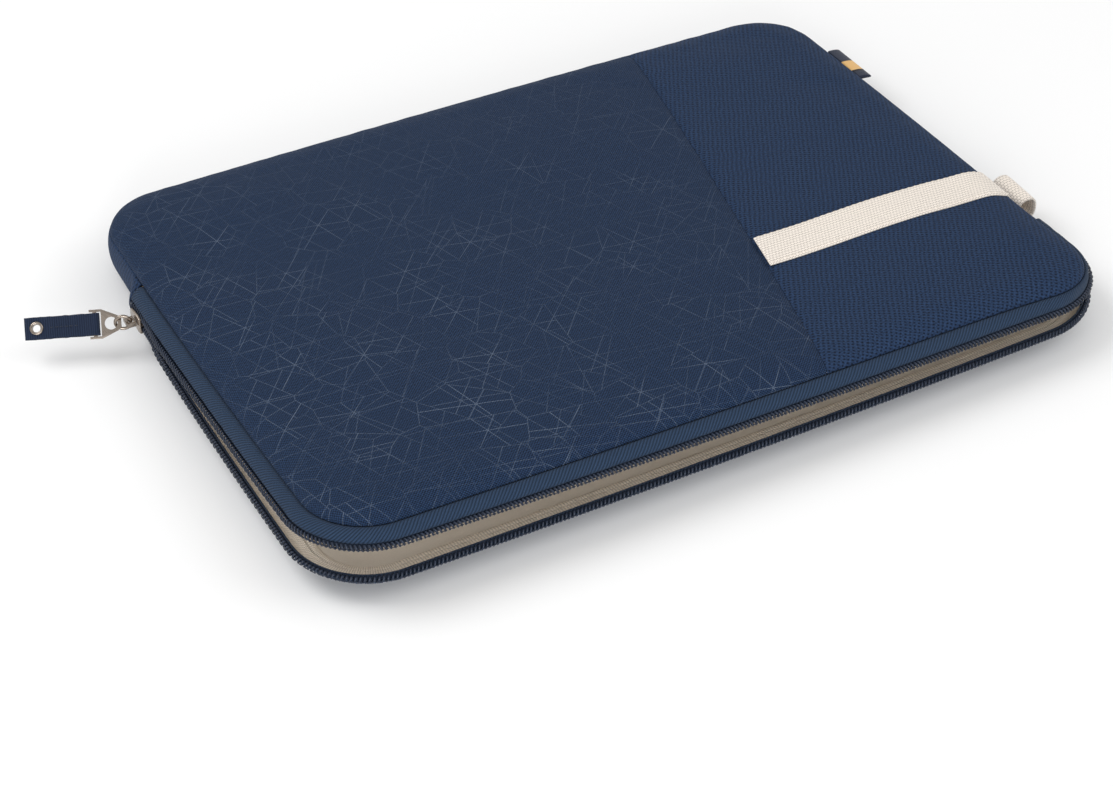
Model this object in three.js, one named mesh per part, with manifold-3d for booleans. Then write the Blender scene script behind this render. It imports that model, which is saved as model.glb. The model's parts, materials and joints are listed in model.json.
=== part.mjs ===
// Padded laptop sleeve with a zip round three sides, lying flat with its mouth a little open.
// Millimetres. +X right, +Y towards the sewn back, +Z up. The origin is the middle of the underside.
// Both halves are drawn as they lie when zipped shut; then the upper half is lifted about the fold line.
import * as THREE from 'three';
import { mergeVertices } from 'three/addons/utils/BufferGeometryUtils.js';
import Module from 'manifold-3d';

const wasm = await Module();
wasm.setup();

// Outline
const width = 370;
const depth = 273;
const cornerRadius = 33;
const sideBow = 2.2; // how far each side bulges past a straight line
const cornerSteps = 7;
const sideSteps = 5;

// Layers of a padded half, from the outside in
const skin = 0.9;
const foamThickness = 4;
const liningThickness = 0.5;
const layerGap = 0.3;
const crownRise = skin + layerGap + foamThickness + layerGap + liningThickness; // rim to flat
const crownWidth = 14; // the rounded margin of a padded panel
const seamInset = 6.4; // the panel seams lie this far inside the outline

// Mouth
const mouthHeight = 18; // lower seam to upper seam when shut
const restOpening = 3; // degrees that the upper half is lifted at rest
const zipEndLeft = 64; // Y of the left end of the zip
const zipEndRight = -78; // Y of the right end of the zip
const foldGap = 0.8;
const zipEndGap = 1.2;
const seamZ = crownRise;
const upperSeamZ = seamZ + mouthHeight;
const topZ = upperSeamZ + crownRise;

// Zip, each size measured from its seam towards the chain
const bandRise = 3.2;
const tapeStart = 3.5;
const tapeEnd = 5.1;
const coilStart = 5.4;
const coilTip = 6.8;
const coilWidth = 2.2;
const closedCoilGap = 0.4;
const blendLength = 75; // the coils draw apart over this length from each zip end

// Trim
const dividerX = 41; // the slanted seam between the two top fabrics, at dividerY
const dividerY = -122;
const dividerSlope = 0.208;
const strapY = -51;
const strapWidth = 21;
const strapThickness = 1.2;
const loopReach = 11;
const loopHeight = 12;
const webThickness = 1.3;
const labelY = 73;
const labelLength = 28;
const labelReach = 5;
const labelThickness = 0.9;
const bindingWidth = 3.4;
const bindingThickness = 0.6;

// Slider and pull
const sliderY = 54;
const sliderLength = 11;
const sliderWidth = 8.6;
const plateThickness = 1.2;
const slotHalf = 1.7; // from the middle of the coil to a slider plate
const bridgeLength = 5.6;
const bridgeReach = 4;
const bridgeBar = 1.3;
const bridgeWidth = 1.8;
const ringRadius = 3.25;
const ringWire = 0.7;
const pullAngle = 22; // degrees that the pull points behind straight out, at rest
const pullTwist = 46; // degrees that the plate and tab are turned about their length, at rest
const pullPlateThickness = 1.1;
const pullHoleRadius = 2.7;
const pullPlateRim = 1.6;
const pullNeck = 6.5;
const pullWidth = 12.4;
const pullPlateLength = 11.8;
const pullBar = 1.6;
const wingLength = 1.5;
const wingThickness = 0.95;
const tabWidth = 9.6;
const tabLength = 29.5;
const tabThickness = 2.2;
const eyeletRadius = 2.8;
const eyeletBore = 1.7;
const eyeletFlange = 0.6;
const eyeletFromEnd = 5.2;

const halfX = width / 2;
const halfY = depth / 2;
const chainZ = seamZ + mouthHeight / 2;
const liftRate = Math.tan(THREE.MathUtils.degToRad(restOpening));

// The fold line runs between the two zip ends; behind it the distance is positive.
const foldLength = Math.hypot(width, zipEndRight - zipEndLeft);
const foldNormal = new THREE.Vector2((zipEndLeft - zipEndRight) / foldLength, width / foldLength);

function behindFold(x, y) {
  return (x + halfX) * foldNormal.x + (y - zipEndLeft) * foldNormal.y;
}

function liftAt(x, y) {
  return -behindFold(x, y) * liftRate;
}

// Rounded rectangle, walked from the middle of the left side towards the front.
function roundedPath(inset) {
  const x = halfX - sideBow - inset;
  const y = halfY - sideBow - inset;
  const r = Math.max(cornerRadius - inset, 4);
  const path = new THREE.Path();
  path.moveTo(-x, 0);
  path.lineTo(-x, r - y);
  path.absarc(r - x, r - y, r, Math.PI, 1.5 * Math.PI);
  path.lineTo(x - r, -y);
  path.absarc(x - r, r - y, r, 1.5 * Math.PI, 2 * Math.PI);
  path.lineTo(x, y - r);
  path.absarc(x - r, y - r, r, 0, 0.5 * Math.PI);
  path.lineTo(r - x, y);
  path.absarc(r - x, y - r, r, 0.5 * Math.PI, Math.PI);
  path.lineTo(-x, 0);
  return path;
}

// Bulges the sides: a parabola along each side, none at the corners.
function bowed(point) {
  const x = point.x * (1 + (sideBow / halfX) * (1 - (point.y / halfY) ** 2));
  const y = point.y * (1 + (sideBow / halfY) * (1 - (point.x / halfX) ** 2));
  return new THREE.Vector2(x, y);
}

function outline(inset) {
  const points = [];
  for (const curve of roundedPath(inset).curves) {
    const steps = curve.isLineCurve ? sideSteps : cornerSteps;
    for (const point of curve.getPoints(steps).slice(0, steps)) {
      points.push(bowed(point));
    }
  }
  return new THREE.Shape(points);
}

// A stretch of the outline as a curve, between two distances along roundedPath.
class RimCurve extends THREE.Curve {
  constructor(start, end) {
    super();
    this.path = roundedPath(0);
    this.total = this.path.getLength();
    this.start = start;
    this.end = end;
  }

  getPoint(t) {
    const along = this.start + (this.end - this.start) * t;
    const share = (((along / this.total) % 1) + 1) % 1;
    const point = bowed(this.path.getPointAt(share));
    return new THREE.Vector3(point.x, point.y, 0);
  }
}

// Distance along the rim of a point with height y on the left or on the right side.
const straightY = halfY - sideBow - cornerRadius;
const cornerArc = (cornerRadius * Math.PI) / 2;
const frontRun = 2 * (halfX - sideBow - cornerRadius);
const rimTotal = 4 * straightY + 2 * frontRun + 4 * cornerArc;

function leftAt(y) {
  return -y;
}

function rightAt(y) {
  return 2 * straightY + 2 * cornerArc + frontRun + y;
}

// Sweeps a section, given as [inwards, up] points, along the rim.
function sweep(section, start, end) {
  const points = section.map(([inwards, up]) => new THREE.Vector2(-up, inwards));
  const steps = Math.ceil((end - start) / 17);
  return new THREE.ExtrudeGeometry(new THREE.Shape(points), {
    steps,
    extrudePath: new RimCurve(start, end),
  });
}

// Moves each vertex to a new height: place(x, y, z) gives it.
function reheight(geometry, place) {
  const position = geometry.attributes.position;
  for (let i = 0; i < position.count; i += 1) {
    position.setZ(i, place(position.getX(i), position.getY(i), position.getZ(i)));
  }
  return geometry;
}

function toSolid(geometry) {
  const bare = geometry.clone();
  bare.deleteAttribute('normal');
  bare.deleteAttribute('uv');
  const merged = mergeVertices(bare, 1e-4);
  const mesh = new wasm.Mesh({
    numProp: 3,
    vertProperties: new Float32Array(merged.attributes.position.array),
    triVerts: new Uint32Array(merged.index.array),
  });
  return new wasm.Manifold(mesh);
}

function toGeometry(solid) {
  const mesh = solid.getMesh();
  const geometry = new THREE.BufferGeometry();
  geometry.setAttribute('position', new THREE.BufferAttribute(new Float32Array(mesh.vertProperties), 3));
  geometry.setIndex(new THREE.BufferAttribute(new Uint32Array(mesh.triVerts), 1));
  return geometry;
}

function box(x0, x1, y0, y1, z0, z1) {
  const geometry = new THREE.BoxGeometry(x1 - x0, y1 - y0, z1 - z0);
  geometry.translate((x0 + x1) / 2, (y0 + y1) / 2, (z0 + z1) / 2);
  return geometry;
}

// Everything below z = height, and a prism that covers the sleeve on one side of a slanted line.
function below(height) {
  return toSolid(box(-width, width, -depth, depth, -depth, height));
}

function prism(corners) {
  const geometry = new THREE.ExtrudeGeometry(new THREE.Shape(corners), { depth: 200, bevelEnabled: false });
  return toSolid(geometry.translate(0, 0, -100));
}

function besideLine(origin, normal, from, reach) {
  const along = new THREE.Vector2(-normal.y, normal.x).multiplyScalar(2 * width);
  const near = origin.clone().addScaledVector(normal, from);
  const far = origin.clone().addScaledVector(normal, reach);
  const corners = [near.clone().add(along), near.clone().sub(along), far.clone().sub(along), far.clone().add(along)];
  return prism(corners);
}

const foldOrigin = new THREE.Vector2(-halfX, zipEndLeft);
const behind = besideLine(foldOrigin, foldNormal, foldGap / 2, 2 * width);
const ahead = besideLine(foldOrigin, foldNormal, -foldGap / 2, -2 * width);
const dividerOrigin = new THREE.Vector2(dividerX, dividerY);
const dividerNormal = new THREE.Vector2(1, -dividerSlope).normalize();
const rightOfDivider = besideLine(dividerOrigin, dividerNormal, layerGap / 2, 2 * width);
const leftOfDivider = besideLine(dividerOrigin, dividerNormal, -layerGap / 2, -2 * width);

// A tray-shaped solid: flat below at z = floor, its rounded margin ending upright at the seam height.
function tray(rimInset, floor) {
  const rise = seamZ - floor;
  const geometry = new THREE.ExtrudeGeometry(outline(rimInset + crownWidth), {
    depth: 2,
    bevelThickness: rise,
    bevelSize: crownWidth,
    bevelSegments: 4,
  });
  return toSolid(geometry.translate(0, 0, seamZ));
}

function flatSheet(inset, z0, z1) {
  const geometry = new THREE.ExtrudeGeometry(outline(inset), { depth: z1 - z0, bevelEnabled: false });
  return toSolid(geometry.translate(0, 0, z0));
}

const foamZ = skin + layerGap;
const liningZ = foamZ + foamThickness + layerGap;
const foamInset = seamInset + skin + layerGap;
const liningInset = foamInset + layerGap + 0.5;

const lowerSkin = tray(seamInset, 0).intersect(below(seamZ)).subtract(tray(seamInset + skin, skin));
const lowerFoam = tray(foamInset, foamZ).intersect(below(foamZ + foamThickness));
const lowerLining = flatSheet(liningInset, liningZ, liningZ + liningThickness);
const strapShell = tray(seamInset - layerGap - strapThickness, -layerGap - strapThickness)
  .intersect(below(seamZ - strapThickness))
  .subtract(tray(seamInset - layerGap, -layerGap));

// Turns a lower-half solid over, so that it becomes the same layer of the upper half, zipped shut.
function turnedOver(solid) {
  return solid.rotate([180, 0, 0]).translate([0, 0, topZ]);
}

// Lifts an upper-half piece out of the zipped pose.
function lifted(geometry) {
  return reheight(geometry, (x, y, z) => z + liftAt(x, y));
}

function upperPiece(solid, ...cutters) {
  let piece = turnedOver(solid);
  for (const cutter of cutters) {
    piece = piece.intersect(cutter);
  }
  return lifted(toGeometry(piece));
}

// How far a point of the zip is drawn towards the chain: 1 at a zip end, 0 past blendLength.
function drawnIn(x, y) {
  const endY = x < 0 ? zipEndLeft : zipEndRight;
  const distance = Math.hypot(Math.abs(x) - halfX, y - endY);
  return 1 - THREE.MathUtils.smoothstep(distance, 0, blendLength);
}

const fullStretch = (mouthHeight / 2 - closedCoilGap / 2) / coilTip;

function zipStretch(x, y) {
  return 1 + (fullStretch - 1) * drawnIn(x, y);
}

// Lower and upper zip pieces: the section's heights are measured from the seam towards the chain.
function lowerZipPiece(section, yLeft, yRight) {
  const geometry = sweep(section, leftAt(yLeft), rightAt(yRight));
  return reheight(geometry, (x, y, z) => seamZ + z * zipStretch(x, y));
}

function upperZipPiece(section, yLeft, yRight) {
  const mirrored = section.map(([inwards, up]) => [inwards, -up]);
  const geometry = sweep(mirrored, leftAt(yLeft), rightAt(yRight));
  return reheight(geometry, (x, y, z) => upperSeamZ + liftAt(x, y) + z * zipStretch(x, y));
}

function rectangle(x0, x1, y0, y1) {
  return [[x0, y0], [x1, y0], [x1, y1], [x0, y1]];
}

const bandSection = [
  [seamInset - 0.2, layerGap],
  [seamInset + 1.2, layerGap + 0.3],
  [2, bandRise],
  [0.6, bandRise - 0.3],
];
const tapeSection = rectangle(0.9, 1.6, tapeStart, tapeEnd);
const coilSection = rectangle(0, coilWidth, coilStart, coilTip);
const bindingStart = liningInset + layerGap;
const bindingSection = rectangle(bindingStart, bindingStart + bindingWidth, layerGap, layerGap + bindingThickness);

// The sewn side wall behind the zip ends, bulging out to the outline.
const gussetWall = 1.2;
const gussetTop = mouthHeight - layerGap;
const gussetSection = [
  [seamInset, layerGap],
  [0.3, 5.5],
  [0.3, mouthHeight - 5.5],
  [seamInset, gussetTop],
  [seamInset + gussetWall + 0.3, gussetTop],
  [0.3 + gussetWall, mouthHeight - 5.2],
  [0.3 + gussetWall, 5.2],
  [seamInset + gussetWall + 0.3, layerGap],
];
const gussetLiningSection = [
  [seamInset + 2.2, 1.4],
  [2.1, 5.6],
  [2.1, mouthHeight - 5.6],
  [seamInset + 2.2, mouthHeight - 1.4],
  [seamInset + 2.9, mouthHeight - 1.4],
  [2.6, mouthHeight - 5.4],
  [2.6, 5.4],
  [seamInset + 2.9, 1.4],
];

// Behind the zip the section's height stretches with the local distance between the seams.
function gussetPiece(section) {
  const start = rightAt(zipEndRight + layerGap);
  const end = rimTotal + leftAt(zipEndLeft + layerGap);
  const geometry = sweep(section, start, end);
  return reheight(geometry, (x, y, z) => seamZ + (z * (mouthHeight + liftAt(x, y))) / mouthHeight);
}

function rimX(y) {
  return (halfX - sideBow) * (1 + (sideBow / halfX) * (1 - (y / halfY) ** 2));
}

const loopX = rimX(strapY);
const loopZ = chainZ + liftAt(halfX, strapY) / 2;

function roundedRing(x0, x1, y0, y1, radius) {
  const path = new THREE.Path();
  path.absarc(x1 - radius, y1 - radius, radius, 0, 0.5 * Math.PI);
  path.absarc(x0 + radius, y1 - radius, radius, 0.5 * Math.PI, Math.PI);
  path.absarc(x0 + radius, y0 + radius, radius, Math.PI, 1.5 * Math.PI);
  path.absarc(x1 - radius, y0 + radius, radius, 1.5 * Math.PI, 2 * Math.PI);
  return path.getPoints(4);
}

// A webbing loop: its flat leg lies on the side wall, its eye runs along Y.
function sideLoop() {
  const x0 = loopX + layerGap;
  const z0 = loopZ - loopHeight / 2;
  const shape = new THREE.Shape(roundedRing(x0, x0 + loopReach, z0, z0 + loopHeight, 4));
  const inner = roundedRing(
    x0 + webThickness, x0 + loopReach - webThickness,
    z0 + webThickness, z0 + loopHeight - webThickness, 4 - webThickness,
  );
  shape.holes.push(new THREE.Path(inner));
  const geometry = new THREE.ExtrudeGeometry(shape, { depth: strapWidth, bevelEnabled: false });
  geometry.rotateX(Math.PI / 2);
  return geometry.translate(0, strapY + strapWidth / 2, 0);
}

// A folded tab sewn into the upper seam of the right side wall.
function sideLabel() {
  const outerX = rimX(labelY) + labelReach;
  const innerX = rimX(labelY) - seamInset + 1;
  const z1 = upperSeamZ + 0.3;
  const geometry = box(innerX, outerX, labelY - labelLength / 2, labelY + labelLength / 2, z1 - labelThickness, z1);
  return lifted(geometry);
}

// The slider, drawn about its own middle: +Z across the tape, -X outwards, -Y towards the open mouth.
const sliderX = -rimX(sliderY) + coilWidth / 2;
const sliderZ = chainZ + liftAt(-halfX, sliderY) / 2;
const outerFace = -slotHalf - plateThickness;

function sliderPlate(x0, x1) {
  const h = sliderLength / 2;
  const w = sliderWidth / 2;
  const nose = w - 0.7;
  const corners = [[-h, -nose], [-h + 3, -w], [h - 1.5, -w + 0.8], [h, -w + 1.8]];
  const points = corners.concat(corners.map(([y, z]) => [y, -z]).reverse());
  const shape = new THREE.Shape(points.map(([y, z]) => new THREE.Vector2(y, z)));
  const geometry = new THREE.ExtrudeGeometry(shape, { depth: x1 - x0, bevelEnabled: false });
  geometry.rotateY(Math.PI / 2);
  geometry.rotateX(Math.PI / 2);
  return geometry.translate(x0, 0, 0);
}

function sliderPost() {
  const reach = slotHalf - layerGap;
  return box(-reach, reach, -sliderLength / 2 + 0.5, -sliderLength / 2 + 3, -0.8, 0.8);
}

// An arch along Y standing on the outer plate; the ring link passes under it.
function sliderBridge() {
  const foot = outerFace - layerGap;
  const outer = toSolid(box(foot - bridgeReach, foot, -bridgeLength / 2, bridgeLength / 2, -bridgeWidth / 2, bridgeWidth / 2));
  const end = bridgeLength / 2 - bridgeBar;
  const eye = toSolid(box(foot - bridgeReach + bridgeBar, foot + 1, -end, end, -bridgeWidth, bridgeWidth));
  const footPlate = toSolid(box(foot - 0.6, foot, -bridgeLength / 2, bridgeLength / 2, -bridgeWidth / 2, bridgeWidth / 2));
  return toGeometry(outer.subtract(eye).add(footPlate));
}

// The pull is drawn straight out along -X from the ring's pivot under the bridge.
const pivotX = outerFace - layerGap - 0.6 - layerGap - ringWire;
const ringX = -ringRadius;
const holeNear = ringWire + layerGap - 2 * ringRadius; // the hole's edge, just inside the far side of the ring
const holeX = holeNear - pullHoleRadius;
const plateStart = holeNear + pullPlateRim;
const plateEnd = plateStart - pullPlateLength;
const barX = plateEnd + pullBar / 2;

function ringLink() {
  const geometry = new THREE.TorusGeometry(ringRadius, ringWire, 8, 24);
  geometry.rotateX(Math.PI / 2);
  return geometry.translate(ringX, 0, 0);
}

function pullPlate() {
  const neck = pullNeck / 2;
  const half = pullWidth / 2;
  const slotX = plateEnd + pullBar;
  const shape = new THREE.Shape([
    new THREE.Vector2(plateStart, -neck + 1.5),
    new THREE.Vector2(plateStart, neck - 1.5),
    new THREE.Vector2(plateStart - 1.5, neck),
    new THREE.Vector2(slotX + 2, half),
    new THREE.Vector2(plateEnd - wingLength, half),
    new THREE.Vector2(plateEnd - wingLength, half - wingThickness),
    new THREE.Vector2(plateEnd, half - wingThickness),
    new THREE.Vector2(plateEnd, -half + wingThickness),
    new THREE.Vector2(plateEnd - wingLength, -half + wingThickness),
    new THREE.Vector2(plateEnd - wingLength, -half),
    new THREE.Vector2(slotX + 2, -half),
    new THREE.Vector2(plateStart - 1.5, -neck),
  ]);
  const hole = new THREE.Path();
  hole.absarc(holeX, 0, pullHoleRadius, 0, 2 * Math.PI, true);
  shape.holes.push(new THREE.Path(hole.getPoints(20)));
  const slot = [
    [slotX, -tabWidth / 2 - 0.4], [slotX + 1.8, -tabWidth / 2 - 0.4],
    [slotX + 1.8, tabWidth / 2 + 0.4], [slotX, tabWidth / 2 + 0.4],
  ];
  shape.holes.push(new THREE.Path(slot.map(([x, y]) => new THREE.Vector2(x, y))));
  const geometry = new THREE.ExtrudeGeometry(shape, { depth: pullPlateThickness, bevelEnabled: false });
  return geometry.translate(0, 0, -pullPlateThickness / 2);
}

// Webbing folded round the pull plate's bar: two layers joined past the fold, with the eyelet's hole.
const tabEnd = barX - tabLength;
const eyeletX = tabEnd + eyeletFromEnd;

function pullTab() {
  const eye = Math.hypot(pullBar / 2, pullPlateThickness / 2) + layerGap;
  const outer = eye + 0.9;
  const half = tabThickness / 2;
  const shape = new THREE.Shape();
  shape.absarc(barX, 0, outer, -0.7 * Math.PI, 0.7 * Math.PI);
  shape.lineTo(barX - 5, half);
  shape.lineTo(tabEnd, half);
  shape.lineTo(tabEnd, -half);
  shape.lineTo(barX - 5, -half);
  const hole = new THREE.Path();
  hole.absarc(barX, 0, eye, 0, 2 * Math.PI, true);
  shape.holes.push(new THREE.Path(hole.getPoints(14)));
  const geometry = new THREE.ExtrudeGeometry(shape, { depth: tabWidth, bevelEnabled: false, curveSegments: 8 });
  geometry.rotateX(Math.PI / 2);
  geometry.translate(0, tabWidth / 2, 0);
  const bore = new THREE.CylinderGeometry(eyeletBore + 1, eyeletBore + 1, 10, 20).rotateX(Math.PI / 2);
  return toGeometry(toSolid(geometry).subtract(toSolid(bore.translate(eyeletX, 0, 0))));
}

// One half of the eyelet: a flange on the webbing and a barrel that ends just short of the middle.
function eyelet(side) {
  const z0 = 0.15;
  const z1 = tabThickness / 2 + layerGap;
  const barrel = eyeletBore + 1 - layerGap;
  const profile = [
    [eyeletBore, z0], [barrel, z0], [barrel, z1], [eyeletRadius, z1],
    [eyeletRadius, z1 + eyeletFlange], [eyeletBore, z1 + eyeletFlange], [eyeletBore, z0],
  ];
  const geometry = new THREE.LatheGeometry(profile.map(([r, y]) => new THREE.Vector2(r, y)), 20);
  geometry.rotateX(side * Math.PI / 2);
  return geometry.translate(eyeletX, 0, 0);
}

// A moulded stop across both tapes where the zip ends.
function endStop(side, y0, y1) {
  const x = rimX(y0) - coilWidth;
  const stop = box(x, x + coilWidth + 0.2, y0, y1, sliderZ - 3, sliderZ + 3);
  return side < 0 ? stop.rotateZ(Math.PI).translate(0, y0 + y1, 0) : stop;
}

const looks = {
  print: { color: 0x2e3b52, roughness: 0.85, metalness: 0 },
  weave: { color: 0x2a3950, roughness: 0.9, metalness: 0 },
  band: { color: 0x263342, roughness: 0.85, metalness: 0 },
  beige: { color: 0xdfd5cc, roughness: 0.85, metalness: 0 },
  lining: { color: 0xb8a890, roughness: 0.8, metalness: 0 },
  foam: { color: 0x555555, roughness: 1, metalness: 0 },
  coil: { color: 0x1b1f27, roughness: 0.45, metalness: 0 },
  metal: { color: 0xa8988a, roughness: 0.3, metalness: 0.9 },
  label: { color: 0x1f2c40, roughness: 0.7, metalness: 0 },
};

const sleeve = new THREE.Group();

function add(parent, name, look, geometry) {
  const mesh = new THREE.Mesh(geometry, new THREE.MeshStandardMaterial(looks[look]));
  mesh.name = name;
  parent.add(mesh);
}

const zipLeft = zipEndLeft - zipEndGap;
const zipRight = zipEndRight - zipEndGap;
const tapeLeft = sliderY + sliderLength / 2 - layerGap;
const tapeRight = zipRight - 3;
const coilLeft = sliderY - sliderLength / 2 - 1;
const stopLeft = sliderY + sliderLength / 2 + 0.7;

// Lower half and side wall
add(sleeve, 'bottom_panel', 'weave', toGeometry(lowerSkin));
add(sleeve, 'bottom_foam', 'foam', toGeometry(lowerFoam));
add(sleeve, 'bottom_lining', 'lining', toGeometry(lowerLining));
add(sleeve, 'lower_zip_band', 'band', lowerZipPiece(bandSection, zipLeft, zipRight));
add(sleeve, 'lower_zip_tape', 'coil', lowerZipPiece(tapeSection, tapeLeft, tapeRight));
add(sleeve, 'lower_coil', 'coil', lowerZipPiece(coilSection, coilLeft, tapeRight));
add(sleeve, 'lower_binding', 'beige', lowerZipPiece(bindingSection, zipLeft, zipRight));
add(sleeve, 'rear_gusset', 'weave', gussetPiece(gussetSection));
add(sleeve, 'gusset_lining', 'lining', gussetPiece(gussetLiningSection));
add(sleeve, 'left_end_stop', 'coil', endStop(-1, stopLeft, zipLeft + 0.5));
add(sleeve, 'right_end_stop', 'coil', endStop(1, tapeRight + 1, zipRight + 0.5));
add(sleeve, 'side_loop', 'beige', sideLoop());
add(sleeve, 'side_label', 'label', sideLabel());

// Upper half: the part behind the fold line stays with the side wall, the rest is the flap
for (const [place, cutter] of [['rear', behind], ['flap', ahead]]) {
  add(sleeve, `top_print_${place}`, 'print', upperPiece(lowerSkin, cutter, leftOfDivider));
  add(sleeve, `top_weave_${place}`, 'weave', upperPiece(lowerSkin, cutter, rightOfDivider));
  add(sleeve, `top_foam_${place}`, 'foam', upperPiece(lowerFoam, cutter));
  add(sleeve, `top_lining_${place}`, 'lining', upperPiece(lowerLining, cutter));
  const strapBox = toSolid(box(0, width, strapY - strapWidth / 2, strapY + strapWidth / 2, 0, 2 * topZ));
  add(sleeve, `strap_${place}`, 'beige', upperPiece(strapShell, cutter, rightOfDivider, strapBox));
}
add(sleeve, 'upper_zip_band', 'band', upperZipPiece(bandSection, zipLeft, zipRight));
add(sleeve, 'upper_zip_tape', 'coil', upperZipPiece(tapeSection, tapeLeft, tapeRight));
add(sleeve, 'upper_coil', 'coil', upperZipPiece(coilSection, coilLeft, tapeRight));
add(sleeve, 'upper_binding', 'beige', upperZipPiece(bindingSection, zipLeft - 2, zipRight - 2));

// Slider and pull
const slider = new THREE.Group();
slider.position.set(sliderX, sliderY, sliderZ);
add(slider, 'slider_outer_plate', 'metal', sliderPlate(outerFace, -slotHalf));
add(slider, 'slider_inner_plate', 'metal', sliderPlate(slotHalf, slotHalf + plateThickness));
add(slider, 'slider_post', 'metal', sliderPost());
add(slider, 'slider_bridge', 'metal', sliderBridge());
const pull = new THREE.Group();
pull.position.set(pivotX, 0, 0);
pull.rotation.z = THREE.MathUtils.degToRad(-pullAngle);
add(pull, 'pull_ring', 'metal', ringLink());
const hanging = new THREE.Group();
hanging.rotation.x = THREE.MathUtils.degToRad(pullTwist);
add(hanging, 'pull_plate', 'metal', pullPlate());
add(hanging, 'pull_webbing', 'band', pullTab());
add(hanging, 'eyelet_top', 'metal', eyelet(1));
add(hanging, 'eyelet_bottom', 'metal', eyelet(-1));
pull.add(hanging);
slider.add(pull);
sleeve.add(slider);

export default sleeve;
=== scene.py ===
import json
import math
import bmesh
import bpy
import numpy as np
from mathutils import Matrix, Vector


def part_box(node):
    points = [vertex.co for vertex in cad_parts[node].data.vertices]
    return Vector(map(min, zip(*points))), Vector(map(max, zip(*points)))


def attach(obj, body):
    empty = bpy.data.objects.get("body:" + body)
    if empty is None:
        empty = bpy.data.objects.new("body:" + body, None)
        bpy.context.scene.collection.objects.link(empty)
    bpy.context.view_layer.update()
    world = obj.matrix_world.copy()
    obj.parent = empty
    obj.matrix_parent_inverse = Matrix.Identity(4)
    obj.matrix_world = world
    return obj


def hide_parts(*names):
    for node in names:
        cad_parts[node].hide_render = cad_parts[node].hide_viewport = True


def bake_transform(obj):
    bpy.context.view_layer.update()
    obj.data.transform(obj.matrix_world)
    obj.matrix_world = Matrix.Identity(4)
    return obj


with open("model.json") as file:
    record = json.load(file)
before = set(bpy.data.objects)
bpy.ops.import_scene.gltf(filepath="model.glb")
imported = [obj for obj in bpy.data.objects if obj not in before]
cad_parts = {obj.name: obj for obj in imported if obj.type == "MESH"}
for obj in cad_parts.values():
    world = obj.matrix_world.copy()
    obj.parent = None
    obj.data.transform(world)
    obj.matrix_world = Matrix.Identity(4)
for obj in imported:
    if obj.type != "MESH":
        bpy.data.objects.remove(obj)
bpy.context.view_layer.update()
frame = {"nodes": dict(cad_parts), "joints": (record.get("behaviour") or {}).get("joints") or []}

# lengths below are in millimetres; mesh data are scaled to metres when a piece is made
mm = 0.001


def boxOf(node):
    low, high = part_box(node)
    return np.array(low) / mm, np.array(high) / mm


joints = {joint["name"]: joint for joint in frame["joints"]}
fold = joints["flap_fold"]
foldPoint = np.array(fold["pos_m"]) / mm
foldNormal = np.array([fold["axis"][1], -fold["axis"][0]])  # points to the sewn back
restAngle = -math.radians(fold["range_deg"][0])
swing = joints["ring_swing"]
tilt = joints["plate_tilt"]
tabTilt = joints["tab_tilt"]

outline = {
    "seamInset": 6.4,  # panel seams lie this far inside the outline
    "cornerRadius": 33.0,
    "sideBow": 2.2,
}
halfX = -foldPoint[0]
halfY = boxOf("bottom_panel")[1][1] + outline["seamInset"] + 0.1
seamZ = boxOf("bottom_panel")[1][2]
loopLow, loopHigh = boxOf("side_loop")
mouthHeight = 18.0
upperSeamZ = seamZ + mouthHeight
zipEndLeft = foldPoint[1]
zipEndRight = zipEndLeft - 2 * halfX * foldNormal[0] / foldNormal[1]


def smoothStep(value):
    # 3t^2 - 2t^3, held at 0 and 1 outside
    t = np.clip(value, 0.0, 1.0)
    return t * t * (3 - 2 * t)


def liftAt(x, y):
    # height that the opened upper half gains: minus the distance behind the fold times tan(rest angle)
    behind = (x - foldPoint[0]) * foldNormal[0] + (y - foldPoint[1]) * foldNormal[1]
    return -behind * math.tan(restAngle)


def bowed(x, y):
    # each coordinate grows by bow * (1 - (other / half)^2), so sides bulge and corners stay
    bow = outline["sideBow"]
    return (x * (1 + bow / halfX * (1 - (y / halfY) ** 2)),
            y * (1 + bow / halfY * (1 - (x / halfX) ** 2)))


coreX = halfX - outline["sideBow"] - outline["cornerRadius"]
coreY = halfY - outline["sideBow"] - outline["cornerRadius"]
cornerArc = outline["cornerRadius"] * math.pi / 2
rimTotal = 4 * coreX + 4 * coreY + 4 * cornerArc


def rimPoint(along, inset):
    # walk round a core rectangle, plus (radius - inset) in a direction that turns at each corner
    sides = [coreY, cornerArc, 2 * coreX, cornerArc, 2 * coreY, cornerArc, 2 * coreX, cornerArc, coreY]
    knots = np.concatenate([[0], np.cumsum(sides)])
    cx = np.array([-1, -1, -1, 1, 1, 1, 1, -1, -1, -1]) * coreX
    cy = np.array([0, -1, -1, -1, -1, 1, 1, 1, 1, 0]) * coreY
    turn = np.array([2, 2, 3, 3, 4, 4, 5, 5, 6, 6]) * math.pi / 2
    s = np.mod(along, rimTotal)
    angle = np.interp(s, knots, turn)
    reach = outline["cornerRadius"] - inset
    x = np.interp(s, knots, cx) + reach * np.cos(angle)
    y = np.interp(s, knots, cy) + reach * np.sin(angle)
    return bowed(x, y)


def leftAt(y):
    return -y


def rightAt(y):
    return 2 * coreY + 2 * cornerArc + 2 * coreX + y


def waves(x, y, length, seed, count=7):
    # sum of sines with seeded directions and phases, about -1 to 1, wavelength near length
    rng = np.random.default_rng(seed)
    total = np.zeros(np.broadcast(x, y).shape)
    for _ in range(count):
        angle = rng.uniform(0, 2 * math.pi)
        size = length * rng.uniform(0.7, 1.5)
        phase = rng.uniform(0, 2 * math.pi)
        total += np.sin((x * math.cos(angle) + y * math.sin(angle)) * 2 * math.pi / size + phase)
    return total / math.sqrt(count)


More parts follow.
